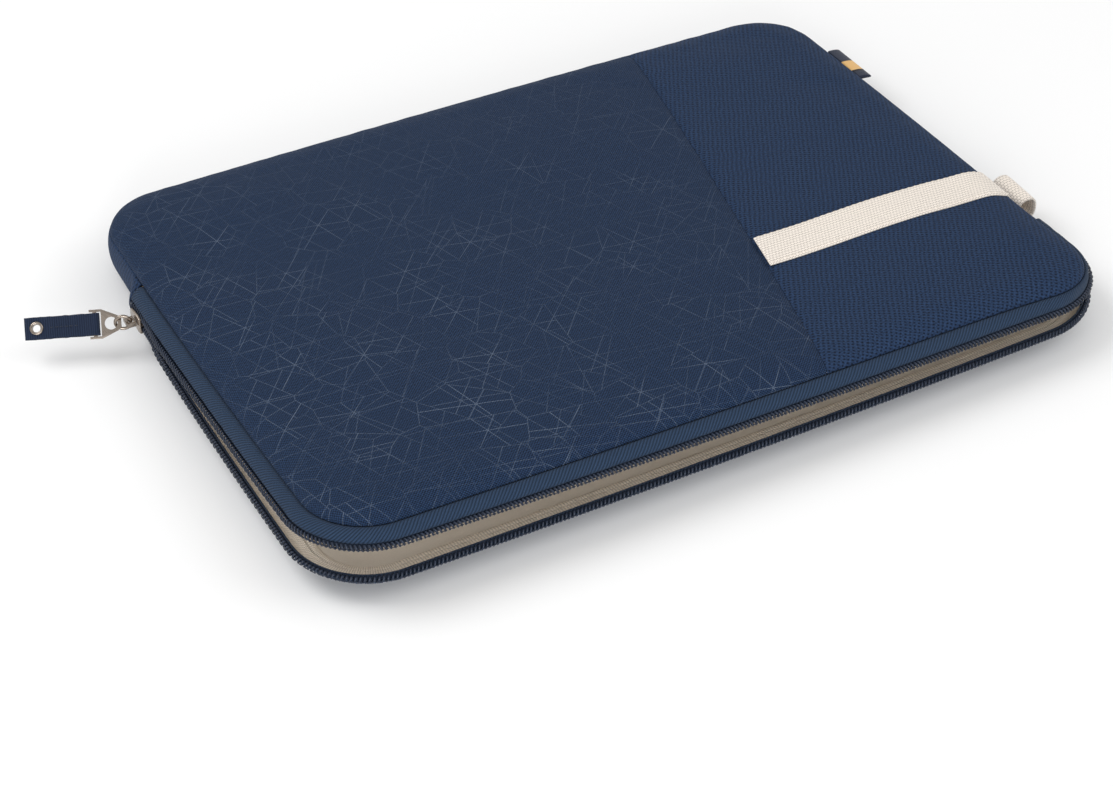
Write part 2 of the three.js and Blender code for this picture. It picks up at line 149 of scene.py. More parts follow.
def normalsOf(points):
    # cross product of the two grid directions, unit length
    du = np.gradient(points, axis=0)
    dv = np.gradient(points, axis=1)
    normal = np.cross(du, dv)
    return normal / np.maximum(np.linalg.norm(normal, axis=2, keepdims=True), 1e-9)


cornerShape = {"push": 4.2, "reach": 30.0, "fade": 20.0}


def frontCornerPush(x, y, inwards):
    # the upper half fills its front right corner: push * exp(-(distance / reach)^2), none on the outline
    middle = outline["cornerRadius"] / math.sqrt(2)
    away = np.hypot(x - coreX - middle, y + coreY + middle)
    outer = outline["seamInset"]
    fading = np.exp(-(inwards - outer) / cornerShape["fade"])
    share = np.where(inwards < outer, np.clip(inwards / outer, 0, 1), fading)
    push = cornerShape["push"] * np.exp(-(away / cornerShape["reach"]) ** 2) * share / math.sqrt(2)
    return x + push, y - push


def newObject(name, data):
    made = bpy.data.objects.new(name, data)
    bpy.context.scene.collection.objects.link(made)
    return made


def makeMesh(name, vertices, faces, uvs, material):
    # vertices (n, 3) in mm, faces (m, 4), uvs (m, 4, 2) in mm
    mesh = bpy.data.meshes.new(name)
    mesh.vertices.add(len(vertices))
    mesh.vertices.foreach_set("co", (np.asarray(vertices, float) * mm).ravel())
    mesh.loops.add(faces.size)
    mesh.loops.foreach_set("vertex_index", faces.ravel().astype(np.int32))
    mesh.polygons.add(len(faces))
    mesh.polygons.foreach_set("loop_start", np.arange(0, faces.size, faces.shape[1]).astype(np.int32))
    mesh.polygons.foreach_set("use_smooth", np.ones(len(faces), bool))
    layer = mesh.uv_layers.new(name="UVMap")
    layer.data.foreach_set("uv", np.asarray(uvs, np.float32).ravel())
    mesh.update(calc_edges=True)
    mesh.validate()
    mesh.materials.append(material)
    return newObject(name, mesh)


def gridFaces(rows, columns, offset=0, closedRows=False, closedColumns=False):
    # quads between neighbours of a rows x columns grid, wrapping where closed
    i = np.arange(rows if closedRows else rows - 1)
    j = np.arange(columns if closedColumns else columns - 1)
    i, j = np.meshgrid(i, j, indexing="ij")
    i2, j2 = (i + 1) % rows, (j + 1) % columns
    corners = np.stack([i * columns + j, i2 * columns + j, i2 * columns + j2, i * columns + j2], axis=-1)
    return corners.reshape(-1, 4) + offset, i.ravel(), j.ravel()


def flipToOutside(piece):
    # turns the whole shell if its signed volume is negative, and merges doubles first
    shell = bmesh.new()
    shell.from_mesh(piece.data)
    bmesh.ops.remove_doubles(shell, verts=shell.verts, dist=1e-7)
    bmesh.ops.recalc_face_normals(shell, faces=shell.faces)
    if shell.calc_volume(signed=True) < 0:
        bmesh.ops.reverse_faces(shell, faces=shell.faces)
    shell.to_mesh(piece.data)
    shell.free()
    return piece


def shellPiece(name, outside, inside, uv, material):
    # two grids of the same shape, walled together along their border
    rows, columns = outside.shape[:2]
    count = rows * columns
    vertices = np.concatenate([outside.reshape(-1, 3), inside.reshape(-1, 3)])
    uvFlat = np.concatenate([uv.reshape(-1, 2), uv.reshape(-1, 2)])
    top, _, _ = gridFaces(rows, columns)
    border = np.concatenate([
        np.arange(columns), np.arange(1, rows) * columns + columns - 1,
        (rows - 1) * columns + np.arange(columns - 2, -1, -1), np.arange(rows - 2, 0, -1) * columns])
    following = np.roll(border, -1)
    wall = np.stack([border, following, following + count, border + count], axis=1)
    faces = np.concatenate([top, top[:, ::-1] + count, wall[:, ::-1]])
    return flipToOutside(makeMesh(name, vertices, faces, uvFlat[faces], material))


def capEnds(piece, rings, points):
    # a flat face on the first and on the last ring
    shell = bmesh.new()
    shell.from_mesh(piece.data)
    shell.verts.ensure_lookup_table()
    for start in (0, (rings - 1) * points):
        shell.faces.new([shell.verts[start + k] for k in range(points)])
    shell.to_mesh(piece.data)
    shell.free()


def sweptPiece(name, rings, uvAcross, uvAlong, material, closedPath=False):
    # rings (n, m, 3): a closed section of m points at each of n places, with flat ends unless the path closes
    n, m = rings.shape[:2]
    faces, i, j = gridFaces(n, m, closedRows=closedPath, closedColumns=True)
    across = np.concatenate([uvAcross, [uvAcross[-1] + (uvAcross[1] - uvAcross[0])]])
    along = np.concatenate([uvAlong, [uvAlong[-1] + (uvAlong[-1] - uvAlong[-2])]])
    uv = np.stack([
        np.stack([along[i], across[j]], 1), np.stack([along[i + 1], across[j]], 1),
        np.stack([along[i + 1], across[j + 1]], 1), np.stack([along[i], across[j + 1]], 1)], axis=1)
    piece = makeMesh(name, rings.reshape(-1, 3), faces, uv, material)
    if not closedPath:
        capEnds(piece, n, m)
    return flipToOutside(piece)


def stitchRow(name, path, up, length, gap, radius, material):
    # short capsules along a path: centre + radius * sqrt(1 - t^2) around each, t along it
    step = np.linalg.norm(np.diff(path, axis=0), axis=1)
    along = np.concatenate([[0], np.cumsum(step)])
    count = int(along[-1] // (length + gap))
    starts = (np.arange(count) + 0.3) * (length + gap)
    t = np.array([-1.0, -0.8, -0.3, 0.3, 0.8, 1.0])
    girth = np.array([0.05, 0.7, 1.0, 1.0, 0.7, 0.05])
    around = np.arange(6) * math.pi / 3
    places = starts[:, None] + (t[None] + 1) * length / 2
    centre = np.stack([np.interp(places, along, path[:, k]) for k in range(3)], axis=-1)
    lift = np.stack([np.interp(places, along, up[:, k]) for k in range(3)], axis=-1)
    ahead = centre[:, -1:] - centre[:, :1]
    ahead = ahead / np.linalg.norm(ahead, axis=2, keepdims=True)
    side = np.cross(ahead, lift)
    side = side / np.linalg.norm(side, axis=2, keepdims=True)
    dip = (1 - t ** 2)[None, :, None] * radius * 0.8
    centre = centre + lift * (dip - radius * 0.35)
    c, s = np.cos(around)[None, None, :, None], np.sin(around)[None, None, :, None]
    rings = centre[:, :, None] + radius * girth[None, :, None, None] * (
        c * side[:, :, None] + s * lift[:, :, None])
    one, i, j = gridFaces(6, 6, closedColumns=True)
    caps = np.array([[0, 1, 2, 3], [0, 3, 4, 5], [33, 32, 31, 30], [35, 34, 33, 30]])
    one = np.concatenate([one, caps])
    faces = (one[None] + (np.arange(count) * 36)[:, None, None]).reshape(-1, 4)
    vertices = rings.reshape(-1, 3)
    uv = vertices[faces][:, :, :2]
    return flipToOutside(makeMesh(name, vertices, faces, uv, material))


def newGroup(name, inputs, outputs):
    tree = bpy.data.node_groups.new(name, "ShaderNodeTree")
    for label, kind, value in inputs:
        socket = tree.interface.new_socket(name=label, in_out="INPUT", socket_type=kind)
        if value is not None:
            socket.default_value = value
    for label, kind in outputs:
        tree.interface.new_socket(name=label, in_out="OUTPUT", socket_type=kind)
    return tree, tree.nodes.new("NodeGroupInput"), tree.nodes.new("NodeGroupOutput")


def feed(tree, socket, value):
    if hasattr(value, "is_output"):
        tree.links.new(value, socket)
    else:
        socket.default_value = value


def calc(tree, operation, *values, clamp=False):
    node = tree.nodes.new("ShaderNodeMath")
    node.operation = operation
    node.use_clamp = clamp
    for socket, value in zip(node.inputs, values):
        feed(tree, socket, value)
    return node.outputs[0]


def times(tree, a, b):
    return calc(tree, "MULTIPLY", a, b)


def plus(tree, a, b):
    return calc(tree, "ADD", a, b)


def minus(tree, a, b):
    return calc(tree, "SUBTRACT", a, b)


def stepped(tree, value, low, high, toLow=0.0, toHigh=1.0):
    node = tree.nodes.new("ShaderNodeMapRange")
    node.interpolation_type = "SMOOTHSTEP"
    feed(tree, node.inputs["Value"], value)
    feed(tree, node.inputs["From Min"], low)
    feed(tree, node.inputs["From Max"], high)
    feed(tree, node.inputs["To Min"], toLow)
    feed(tree, node.inputs["To Max"], toHigh)
    return node.outputs[0]


def mixColour(tree, factor, first, second, kind="MIX"):
    node = tree.nodes.new("ShaderNodeMix")
    node.data_type = "RGBA"
    node.blend_type = kind
    feed(tree, node.inputs[0], factor)
    feed(tree, node.inputs[6], first)
    feed(tree, node.inputs[7], second)
    return node.outputs[2]


def split(tree, vector):
    node = tree.nodes.new("ShaderNodeSeparateXYZ")
    feed(tree, node.inputs[0], vector)
    return node.outputs[0], node.outputs[1]


def join(tree, x, y):
    node = tree.nodes.new("ShaderNodeCombineXYZ")
    feed(tree, node.inputs[0], x)
    feed(tree, node.inputs[1], y)
    return node.outputs[0]


def cloudy(tree, vector, scale, detail=2.0):
    node = tree.nodes.new("ShaderNodeTexNoise")
    feed(tree, node.inputs["Vector"], vector)
    node.inputs["Scale"].default_value = scale
    node.inputs["Detail"].default_value = detail
    return node.outputs[0]


def makeWeaveGroup():
    # threads cross: height = sin(2 pi x / pitch) * sin(2 pi y / pitch), roughened by noise
    tree, given, result = newGroup("plainWeave", [
        ("Vector", "NodeSocketVector", None), ("Pitch", "NodeSocketFloat", 0.9),
        ("Slub", "NodeSocketFloat", 0.3),
    ], [("Height", "NodeSocketFloat"), ("Shade", "NodeSocketFloat")])
    vector = given.outputs["Vector"]
    x, y = split(tree, vector)
    turnRate = calc(tree, "DIVIDE", 2 * math.pi, given.outputs["Pitch"])
    sx = calc(tree, "SINE", times(tree, x, turnRate))
    sy = calc(tree, "SINE", times(tree, y, turnRate))
    weave = times(tree, sx, sy)
    grain = minus(tree, cloudy(tree, vector, 1.3, 3.0), 0.5)
    slub = times(tree, given.outputs["Slub"], 8)
    height = plus(tree, weave, times(tree, grain, slub))
    tree.links.new(height, result.inputs["Height"])
    shade = calc(tree, "MULTIPLY_ADD", height, 0.45, 0.42, clamp=True)
    tree.links.new(shade, result.inputs["Shade"])
    return tree


def makeDobbyGroup():
    # dimples on a turned grid: (1 + cos(2 pi u / across)) * (1 + cos(2 pi v / along)) / 4, sharpened
    tree, given, result = newGroup("dobbyDots", [
        ("Vector", "NodeSocketVector", None), ("Across", "NodeSocketFloat", 2.0),
        ("Along", "NodeSocketFloat", 1.6), ("Angle", "NodeSocketFloat", -0.5),
    ], [("Height", "NodeSocketFloat"), ("Dots", "NodeSocketFloat")])
    vector = given.outputs["Vector"]
    x, y = split(tree, vector)
    wobble = times(tree, minus(tree, cloudy(tree, vector, 0.12), 0.5), 1.6)
    cosine = calc(tree, "COSINE", given.outputs["Angle"])
    sine = calc(tree, "SINE", given.outputs["Angle"])
    u = plus(tree, calc(tree, "MULTIPLY_ADD", x, cosine, times(tree, y, sine)), wobble)
    v = minus(tree, times(tree, y, cosine), times(tree, x, sine))
    beads = []
    for coordinate, pitch in ((u, "Across"), (v, "Along")):
        phase = calc(tree, "DIVIDE", times(tree, coordinate, 2 * math.pi), given.outputs[pitch])
        beads.append(calc(tree, "MULTIPLY_ADD", calc(tree, "COSINE", phase), 0.5, 0.5))
    dots = calc(tree, "POWER", times(tree, beads[0], beads[1]), 1.3)
    grain = times(tree, cloudy(tree, vector, 1.6, 3.0), 0.9)
    tree.links.new(minus(tree, grain, dots), result.inputs["Height"])
    tree.links.new(dots, result.inputs["Dots"])
    return tree


def makeRibGroup():
    # ridges across one direction: |sin(pi (x + slant y) / pitch)|, crossed by finer threads
    tree, given, result = newGroup("ribbed", [
        ("Vector", "NodeSocketVector", None), ("Pitch", "NodeSocketFloat", 1.4),
        ("Slant", "NodeSocketFloat", 0.0), ("Cross", "NodeSocketFloat", 0.6),
    ], [("Height", "NodeSocketFloat"), ("Shade", "NodeSocketFloat")])
    vector = given.outputs["Vector"]
    x, y = split(tree, vector)
    leaning = calc(tree, "MULTIPLY_ADD", y, given.outputs["Slant"], x)
    phase = calc(tree, "DIVIDE", times(tree, leaning, math.pi), given.outputs["Pitch"])
    ribs = calc(tree, "ABSOLUTE", calc(tree, "SINE", phase))
    finePhase = calc(tree, "DIVIDE", times(tree, y, 2 * math.pi), given.outputs["Cross"])
    fine = times(tree, calc(tree, "SINE", finePhase), 0.18)
    grain = times(tree, cloudy(tree, vector, 1.7, 3.0), 0.5)
    height = plus(tree, plus(tree, ribs, fine), grain)
    tree.links.new(height, result.inputs["Height"])
    tree.links.new(calc(tree, "MULTIPLY", height, 0.6, clamp=True), result.inputs["Shade"])
    return tree


def makeBasketGroup():
    # webbing: bricks of yarn, every other row shifted by half, with pinholes between that take a painted
    # shade
    tree, given, result = newGroup("basketWebbing", [
        ("Vector", "NodeSocketVector", None), ("Pitch", "NodeSocketFloat", 1.7),
    ], [("Height", "NodeSocketFloat"), ("Pits", "NodeSocketFloat")])
    vector = given.outputs["Vector"]
    x, y = split(tree, vector)
    row = calc(tree, "DIVIDE", y, given.outputs["Pitch"])
    shift = times(tree, calc(tree, "FLOOR", row), 0.5)
    column = plus(tree, calc(tree, "DIVIDE", x, given.outputs["Pitch"]), shift)
    sx = calc(tree, "ABSOLUTE", calc(tree, "SINE", times(tree, column, math.pi)))
    sy = calc(tree, "ABSOLUTE", calc(tree, "SINE", times(tree, row, math.pi)))
    yarn = calc(tree, "POWER", times(tree, sx, sy), 0.5)
    grain = times(tree, cloudy(tree, vector, 2.2, 3.0), 0.35)
    tree.links.new(plus(tree, yarn, grain), result.inputs["Height"])
    tree.links.new(stepped(tree, yarn, 0.1, 0.42, 1.0, 0.0), result.inputs["Pits"])
    return tree


def makeStarGroup():
    # cells round scattered points: their borders, and six rays from each, |d| * |sin(3 angle)| / 3 away
    tree, given, result = newGroup("starCells", [
        ("Vector", "NodeSocketVector", None), ("Size", "NodeSocketFloat", 22.0),
        ("Shift", "NodeSocketFloat", 0.0), ("Width", "NodeSocketFloat", 0.4),
    ], [("Mask", "NodeSocketFloat")])
    x, y = split(tree, given.outputs["Vector"])
    shift = given.outputs["Shift"]
    moved = join(tree, plus(tree, x, shift), plus(tree, y, shift))
    size, width = given.outputs["Size"], given.outputs["Width"]
    scale = calc(tree, "DIVIDE", 1.0, size)
    masks = []
    for feature in ("F1", "DISTANCE_TO_EDGE"):
        cells = tree.nodes.new("ShaderNodeTexVoronoi")
        cells.voronoi_dimensions = "2D"
        cells.feature = feature
        tree.links.new(moved, cells.inputs["Vector"])
        tree.links.new(scale, cells.inputs["Scale"])
        if feature == "F1":
            px, py = split(tree, cells.outputs["Position"])
            mx, my = split(tree, moved)
            dx, dy = minus(tree, mx, px), minus(tree, my, py)
            chance, _ = split(tree, cells.outputs["Color"])
            angle = calc(tree, "MULTIPLY_ADD", chance, 0.3, calc(tree, "ARCTAN2", dy, dx))
            squares = plus(tree, times(tree, dx, dx), times(tree, dy, dy))
            away = calc(tree, "SQRT", squares)
            wave = calc(tree, "ABSOLUTE", calc(tree, "SINE", times(tree, angle, 3.0)))
            distance = calc(tree, "DIVIDE", times(tree, wave, away), 3.0)
            bright = calc(tree, "MULTIPLY_ADD", chance, 0.6, 0.4)
        else:
            distance = times(tree, cells.outputs["Distance"], size)
            bright = 0.5
        low, high = times(tree, width, 0.3), times(tree, width, 0.9)
        masks.append(times(tree, stepped(tree, distance, low, high, 1.0, 0.0), bright))
    tree.links.new(calc(tree, "MAXIMUM", masks[0], masks[1]), result.inputs["Mask"])
    return tree


groups = {
    "weave": makeWeaveGroup(),
    "dobby": makeDobbyGroup(),
    "rib": makeRibGroup(),
    "basket": makeBasketGroup(),
    "star": makeStarGroup(),
}


def useGroup(tree, kind, vector, **values):
    node = tree.nodes.new("ShaderNodeGroup")
    node.node_tree = groups[kind]
    tree.links.new(vector, node.inputs["Vector"])
    for label, value in values.items():
        feed(tree, node.inputs[label], value)
    return node


navySheen = (0.6, 0.7, 0.9, 1)


def startMaterial(name, roughness, metallic=0.0, sheen=0.0, sheenTint=(1, 1, 1, 1), specular=0.14):
    material = bpy.data.materials.new(name)
    material.use_nodes = True
    tree = material.node_tree
    shader = tree.nodes["Principled BSDF"]
    constants = {
        "Roughness": roughness, "Metallic": metallic, "Specular IOR Level": specular,
        "Sheen Weight": sheen, "Sheen Roughness": 0.45, "Sheen Tint": sheenTint,
    }
    for label, value in constants.items():
        shader.inputs[label].default_value = value
    uv = tree.nodes.new("ShaderNodeUVMap")
    uv.uv_map = "UVMap"
    return material, tree, shader, uv.outputs[0]


def addBump(tree, shader, height, strength, distance):
    bump = tree.nodes.new("ShaderNodeBump")
    bump.inputs["Strength"].default_value = strength
    bump.inputs["Distance"].default_value = distance * mm
    tree.links.new(height, bump.inputs["Height"])
    tree.links.new(bump.outputs[0], shader.inputs["Normal"])


def paint(tree, shader, colour):
    tree.links.new(colour, shader.inputs["Base Color"])


def rgba(colour, scale=1.0):
    return (colour[0] * scale, colour[1] * scale, colour[2] * scale, 1.0)


printLook = {
    "base": (0.0108, 0.0246, 0.0585),
    "line": (0.17, 0.215, 0.29),
    "lineStrength": 0.8,
    "lineWidth": 0.26,
    "pitch": 1.25,
    "bump": 0.16,
    "layers": [(23.0, 0.0, 1.0), (31.0, 57.0, 0.7)],  # cell size, shift, strength
    "fullAt": -260.0,  # x + y where the lines are strongest
    "faintAt": 120.0,
    "faint": 0.38,
}


def makePrintFabric():
    look = printLook
    material, tree, shader, uv = startMaterial("printFabric", 0.78, sheen=0.05, sheenTint=navySheen)
    masks = []
    for size, shift, strength in look["layers"]:
        star = useGroup(tree, "star", uv, Size=size, Shift=shift, Width=look["lineWidth"])
        masks.append(times(tree, star.outputs[0], strength))
    total = calc(tree, "MAXIMUM", masks[0], masks[1])
    weave = useGroup(tree, "weave", uv, Pitch=look["pitch"], Slub=0.3)
    x, y = split(tree, uv)
    # print lines brightest at the front left and fainter towards the back right: a painted highlight of the
    # light from the front left
    frontLeftHighlight = stepped(tree, plus(tree, x, y), look["fullAt"], look["faintAt"], 1.0, look["faint"])
    patches = stepped(tree, cloudy(tree, uv, 0.03, 2.0), 0.38, 0.62, 0.25, 1.0)
    # print lines fainter in the weave's valleys: painted shade in the valleys
    valleyShade = stepped(tree, weave.outputs["Height"], -0.9, 0.6, 0.35, 1.0)
    faded = times(tree, times(tree, total, frontLeftHighlight), times(tree, patches, valleyShade))
    strength = times(tree, faded, look["lineStrength"])
    # the weave's height as colour: painted shade in the thread valleys and painted highlights on the thread
    # tops
    cloth = mixColour(tree, weave.outputs["Shade"], rgba(look["base"], 0.08), rgba(look["base"], 2.3))
    tone = stepped(tree, cloudy(tree, uv, 0.03, 3.0), 0.3, 0.7, 0.0, 0.3)
    cloth = mixColour(tree, tone, cloth, rgba(look["base"], 0.9))
    paint(tree, shader, mixColour(tree, strength, cloth, rgba(look["line"])))
    tree.links.new(calc(tree, "MULTIPLY_ADD", strength, -0.25, 0.8), shader.inputs["Roughness"])
    addBump(tree, shader, weave.outputs["Height"], 0.7, look["bump"])
    return material


weaveLook = {
    "base": (0.0138, 0.0300, 0.0700),
    # dot: colour of the dimples, a painted shade
    "dot": (0.0012, 0.0025, 0.008),
    "across": 2.0,
    "along": 1.6,
    "turn": -29.0,  # degrees
    "bump": 0.28,
}


def makeWeaveFabric():
    look = weaveLook
    material, tree, shader, uv = startMaterial("weaveFabric", 0.82, sheen=0.05, sheenTint=navySheen)
    turn = math.radians(look["turn"])
    dobby = useGroup(tree, "dobby", uv, Across=look["across"], Along=look["along"], Angle=turn)
    fibre = stepped(tree, cloudy(tree, uv, 1.2, 3.0), 0.3, 0.7)
    cloth = mixColour(tree, fibre, rgba(look["base"], 0.75), rgba(look["base"], 1.6))
    # near-black dots in the dimples: painted shade in the recesses
    dotted = mixColour(tree, dobby.outputs["Dots"], cloth, rgba(look["dot"]))
    paint(tree, shader, dotted)
    addBump(tree, shader, dobby.outputs["Height"], 0.7, look["bump"])
    return material


def makeRibbed(name, base, pitch, slant, cross, bump, roughness=0.8, dark=0.45, sheen=0.05):
    material, tree, shader, uv = startMaterial(name, roughness, sheen=sheen)
    ribs = useGroup(tree, "rib", uv, Pitch=pitch, Slant=slant, Cross=cross)
    # rib height as colour: painted shade in the grooves, at the dark share of the base, and painted highlight
    # on the ridges
    colour = mixColour(tree, ribs.outputs["Shade"], rgba(base, dark), rgba(base, 1.3))
    paint(tree, shader, colour)
    addBump(tree, shader, ribs.outputs["Height"], 0.7, bump)
    return material


def makeWebbing(base, pinholeShade, pitch, bump):
    material, tree, shader, uv = startMaterial("beigeWebbing", 0.8, sheen=0.3)
    basket = useGroup(tree, "basket", uv, Pitch=pitch)
    yarn = mixColour(tree, cloudy(tree, uv, 0.7, 4.0), rgba(base, 0.86), rgba(base, 1.08))
    # painted shade in the pinholes between the yarns
    colour = mixColour(tree, basket.outputs["Pits"], yarn, rgba(pinholeShade))
    paint(tree, shader, colour)
    addBump(tree, shader, basket.outputs["Height"], 0.8, bump)
    return material


def makeLining(base):
    material, tree, shader, uv = startMaterial("liningFabric", 0.62, sheen=0.2)
    weave = useGroup(tree, "weave", uv, Pitch=0.6, Slub=0.15)
    # the weave's height as colour: slight painted shade in the valleys and painted highlight on the thread
    # tops
    cloth = mixColour(tree, weave.outputs["Shade"], rgba(base, 0.88), rgba(base, 1.08))
    paint(tree, shader, cloth)
    gloss = stepped(tree, cloudy(tree, uv, 0.08), 0.3, 0.7, 0.55, 0.7)
    tree.links.new(gloss, shader.inputs["Roughness"])
    addBump(tree, shader, weave.outputs["Height"], 0.4, 0.06)
    return material


def makeFoam():
    material, tree, shader, uv = startMaterial("foamCore", 0.95)
    cells = tree.nodes.new("ShaderNodeTexVoronoi")
    cells.inputs["Scale"].default_value = 1.4
    tree.links.new(uv, cells.inputs["Vector"])
    grey = (0.05, 0.05, 0.055)
    colour = mixColour(tree, cells.outputs["Distance"], rgba(grey), (0.14, 0.14, 0.15, 1))
    paint(tree, shader, colour)
    addBump(tree, shader, cells.outputs["Distance"], 0.6, 0.3)
    return material


def makeCoil(name, metres=False):
    # on the zip's own map in mm, or on object coordinates in metres for the solid end stops
    material, tree, shader, place = startMaterial(name, 0.34, specular=0.35)
    scale = 1.0
    if metres:
        place = tree.nodes.new("ShaderNodeTexCoord").outputs["Object"]
        scale = 1000.0
    cloud = cloudy(tree, place, 0.4 * scale)
    paint(tree, shader, mixColour(tree, cloud, (0.010, 0.016, 0.032, 1), (0.024, 0.035, 0.062, 1)))
    gloss = stepped(tree, cloudy(tree, place, 0.9 * scale), 0.3, 0.7, 0.26, 0.44)
    tree.links.new(gloss, shader.inputs["Roughness"])
    return material


def makeMetal():
    # on object coordinates, so these noise scales are per metre
    material, tree, shader, _ = startMaterial("champagneNickel", 0.25, metallic=1.0, specular=0.5)
    place = tree.nodes.new("ShaderNodeTexCoord").outputs["Object"]
    cloud = cloudy(tree, place, 120.0, 3.0)
    # champagne nickel tint, set darker than the metal's own as painted dark reflections
    paint(tree, shader, mixColour(tree, cloud, (0.27, 0.23, 0.195, 1), (0.38, 0.325, 0.28, 1)))
    gloss = stepped(tree, cloudy(tree, place, 300.0, 3.0), 0.3, 0.7, 0.2, 0.36)
    tree.links.new(gloss, shader.inputs["Roughness"])
    addBump(tree, shader, cloudy(tree, place, 500.0), 0.1, 0.01)
    return material


def makeThread(name, base):
    material, tree, shader, uv = startMaterial(name, 0.55, sheen=0.3)
    colour = mixColour(tree, cloudy(tree, uv, 2.5, 2.0), rgba(base, 0.7), rgba(base, 1.3))
    paint(tree, shader, colour)
    addBump(tree, shader, cloudy(tree, uv, 4.0, 2.0), 0.3, 0.05)
    return material


labelLook = {
    "navy": (0.014, 0.02, 0.04), "gold": (0.74, 0.45, 0.17), "line": (0.006, 0.006, 0.008),
    "reach": 0.62,  # share of the tab's room that it fills
    "lineFrom": 5.5, "goldFrom": 7.0, "goldTo": 16.0, "blur": 0.1,
}


def makeLabel():
    # stripes along the label: navy, a dark line, a gold band, navy
    material, tree, shader, uv = startMaterial("labelFabric", 0.6, sheen=0.2)
    look = labelLook
    x, _ = split(tree, uv)
    places = [look[key] for key in ("lineFrom", "goldFrom", "goldTo")]
    edges = [(place - look["blur"], place + look["blur"]) for place in places]
    inBand = times(tree, stepped(tree, x, *edges[1]), stepped(tree, x, *edges[2], 1.0, 0.0))
    inLine = times(tree, stepped(tree, x, *edges[0]), stepped(tree, x, *edges[1], 1.0, 0.0))
    ribs = useGroup(tree, "rib", uv, Pitch=0.5, Slant=0.0, Cross=0.4)
    # rib height as colour: painted shade in the grooves and painted highlight on the ridges
    ground = mixColour(tree, ribs.outputs["Shade"], rgba(look["navy"], 0.7), rgba(look["navy"], 1.5))
    banded = mixColour(tree, inBand, ground, rgba(look["gold"]))
    paint(tree, shader, mixColour(tree, inLine, banded, rgba(look["line"])))
    addBump(tree, shader, ribs.outputs["Height"], 0.5, 0.08)
    return material


materials = {
    "print": makePrintFabric(),
    "weave": makeWeaveFabric(),
    "band": makeRibbed("bandFabric", (0.026, 0.051, 0.100), 1.6, 0.9, 0.5, 0.5, dark=0.16),
    "tape": makeRibbed("zipTapeFabric", (0.018, 0.028, 0.05), 0.7, 0.0, 0.5, 0.12),
    "coil": makeCoil("coilNylon"),
    "stop": makeCoil("endStopNylon", metres=True),
    # binding beige, set lighter than the tape's own colour as painted light for the shaded mouth
    "binding": makeRibbed("bindingTape", (0.88, 0.80, 0.70), 1.25, 0.0, 0.7, 0.25, dark=0.66),
    "foam": makeFoam(),
    # lining beige, set lighter than the cloth's own colour as painted light for the shaded inside
    "lining": makeLining((0.86, 0.79, 0.70)),
    # second colour: painted shade in the webbing's pinholes
    "webbing": makeWebbing((0.90, 0.82, 0.735), (0.22, 0.18, 0.15), 1.55, 0.3),
    "label": makeLabel(),
    "pull": makeRibbed("pullWebbing", (0.017, 0.027, 0.056), 0.95, 0.0, 0.5, 0.28, dark=0.3),
    "metal": makeMetal(),
    "thread": makeThread("navyThread", (0.010, 0.017, 0.034)),
    "paleThread": makeThread("beigeThread", (0.72, 0.65, 0.57)),
}
print("materials made")


def settle(piece, body, slot, *nodes):
    # rides on one body, or is baked in place when none is given
    if body:
        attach(piece, body)
    else:
        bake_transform(piece)
    if nodes:
        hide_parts(*nodes)


panel = {
    "rise": 6.0,
    "margin": 14.0,
    "puff": 0.9,  # extra height towards the middle
    "puffReach": 45.0,
    "flatFrom": 30.0,  # puff and ripples are full from here inwards
    "ripple": 0.35,
    "rippleLength": 85,
    "pucker": 0.22,
    "puckerLength": 9,
    "crease": 0.9,  # depth of the seam between the two top fabrics
    "creaseWidth": 1.8,
    "valley": 0.25,  # wider dip beside that seam
    "valleyWidth": 7.0,
    "skin": 0.9,
    "cornerRows": 20,
    "sideRows": 130,
    "printColumns": 170,
    "weaveColumns": 96,
    "bottomColumns": 150,
    "bottomShare": 0.985,
    "dividerX": 41.0,
    "dividerY": -122.0,
    "dividerSlope": 0.208,
}


def dividerAt(y):
    return panel["dividerX"] + panel["dividerSlope"] * (y - panel["dividerY"])


def rowsOf(inset, cornerRows, sideRows):
    # y of each row and its half width: arcs y = core + r sin a, x = core + r cos a, straight between
    reach = outline["cornerRadius"] - inset
    a = np.linspace(-math.pi / 2, 0, cornerRows)
    straight = np.linspace(-coreY, coreY, sideRows)[1:-1]
    arcX, arcY = coreX + reach * np.cos(a), -coreY + reach * np.sin(a)
    y = np.concatenate([arcY, straight, -arcY[::-1]])
    x = np.concatenate([arcX, np.full(len(straight), coreX + reach), arcX[::-1]])
    return y, x


def insideDistance(x, y, inset):
    # distance to the rounded rectangle's edge, positive inside
    reach = outline["cornerRadius"] - inset
    qx = np.abs(x) - coreX
    qy = np.abs(y) - coreY
    return reach - np.hypot(np.maximum(qx, 0), np.maximum(qy, 0)) - np.minimum(np.maximum(qx, qy), 0)


cloth = {
    "cornerRows": 12,
    "sideRows": 62,
    "columns": 110,
    "pressure": 4.0,
    "frames": 20,
    "slack": 0.022,  # extra length of the cloth, as a share
    "stiffness": 0.6,
    "quality": 6,
    "smooth": 9,  # half width of the running mean, in grid points
    "passes": 3,
    "gain": 0.17,  # share of the creases that is kept
    "cap": 0.8,  # the most that a crease may rise or sink
}


def seamRise(x, y):
    # quarter ellipse from the seam up to the flat: rise * sqrt(1 - (1 - d / margin)^2)
    d = np.maximum(insideDistance(x, y, outline["seamInset"]), 0)
    return panel["rise"] * np.sqrt(1 - (1 - np.minimum(d / panel["margin"], 1)) ** 2)


def blurred(grid):
    # repeated running means along both grid directions, the borders held
    width = cloth["smooth"]
    kernel = np.ones(2 * width + 1) / (2 * width + 1)
    for _ in range(cloth["passes"]):
        for axis in (0, 1):
            border = [(width, width) if k == axis else (0, 0) for k in (0, 1)]
            padded = np.pad(grid, border, mode="edge")
            grid = np.apply_along_axis(np.convolve, axis, padded, kernel, mode="valid")
    return grid


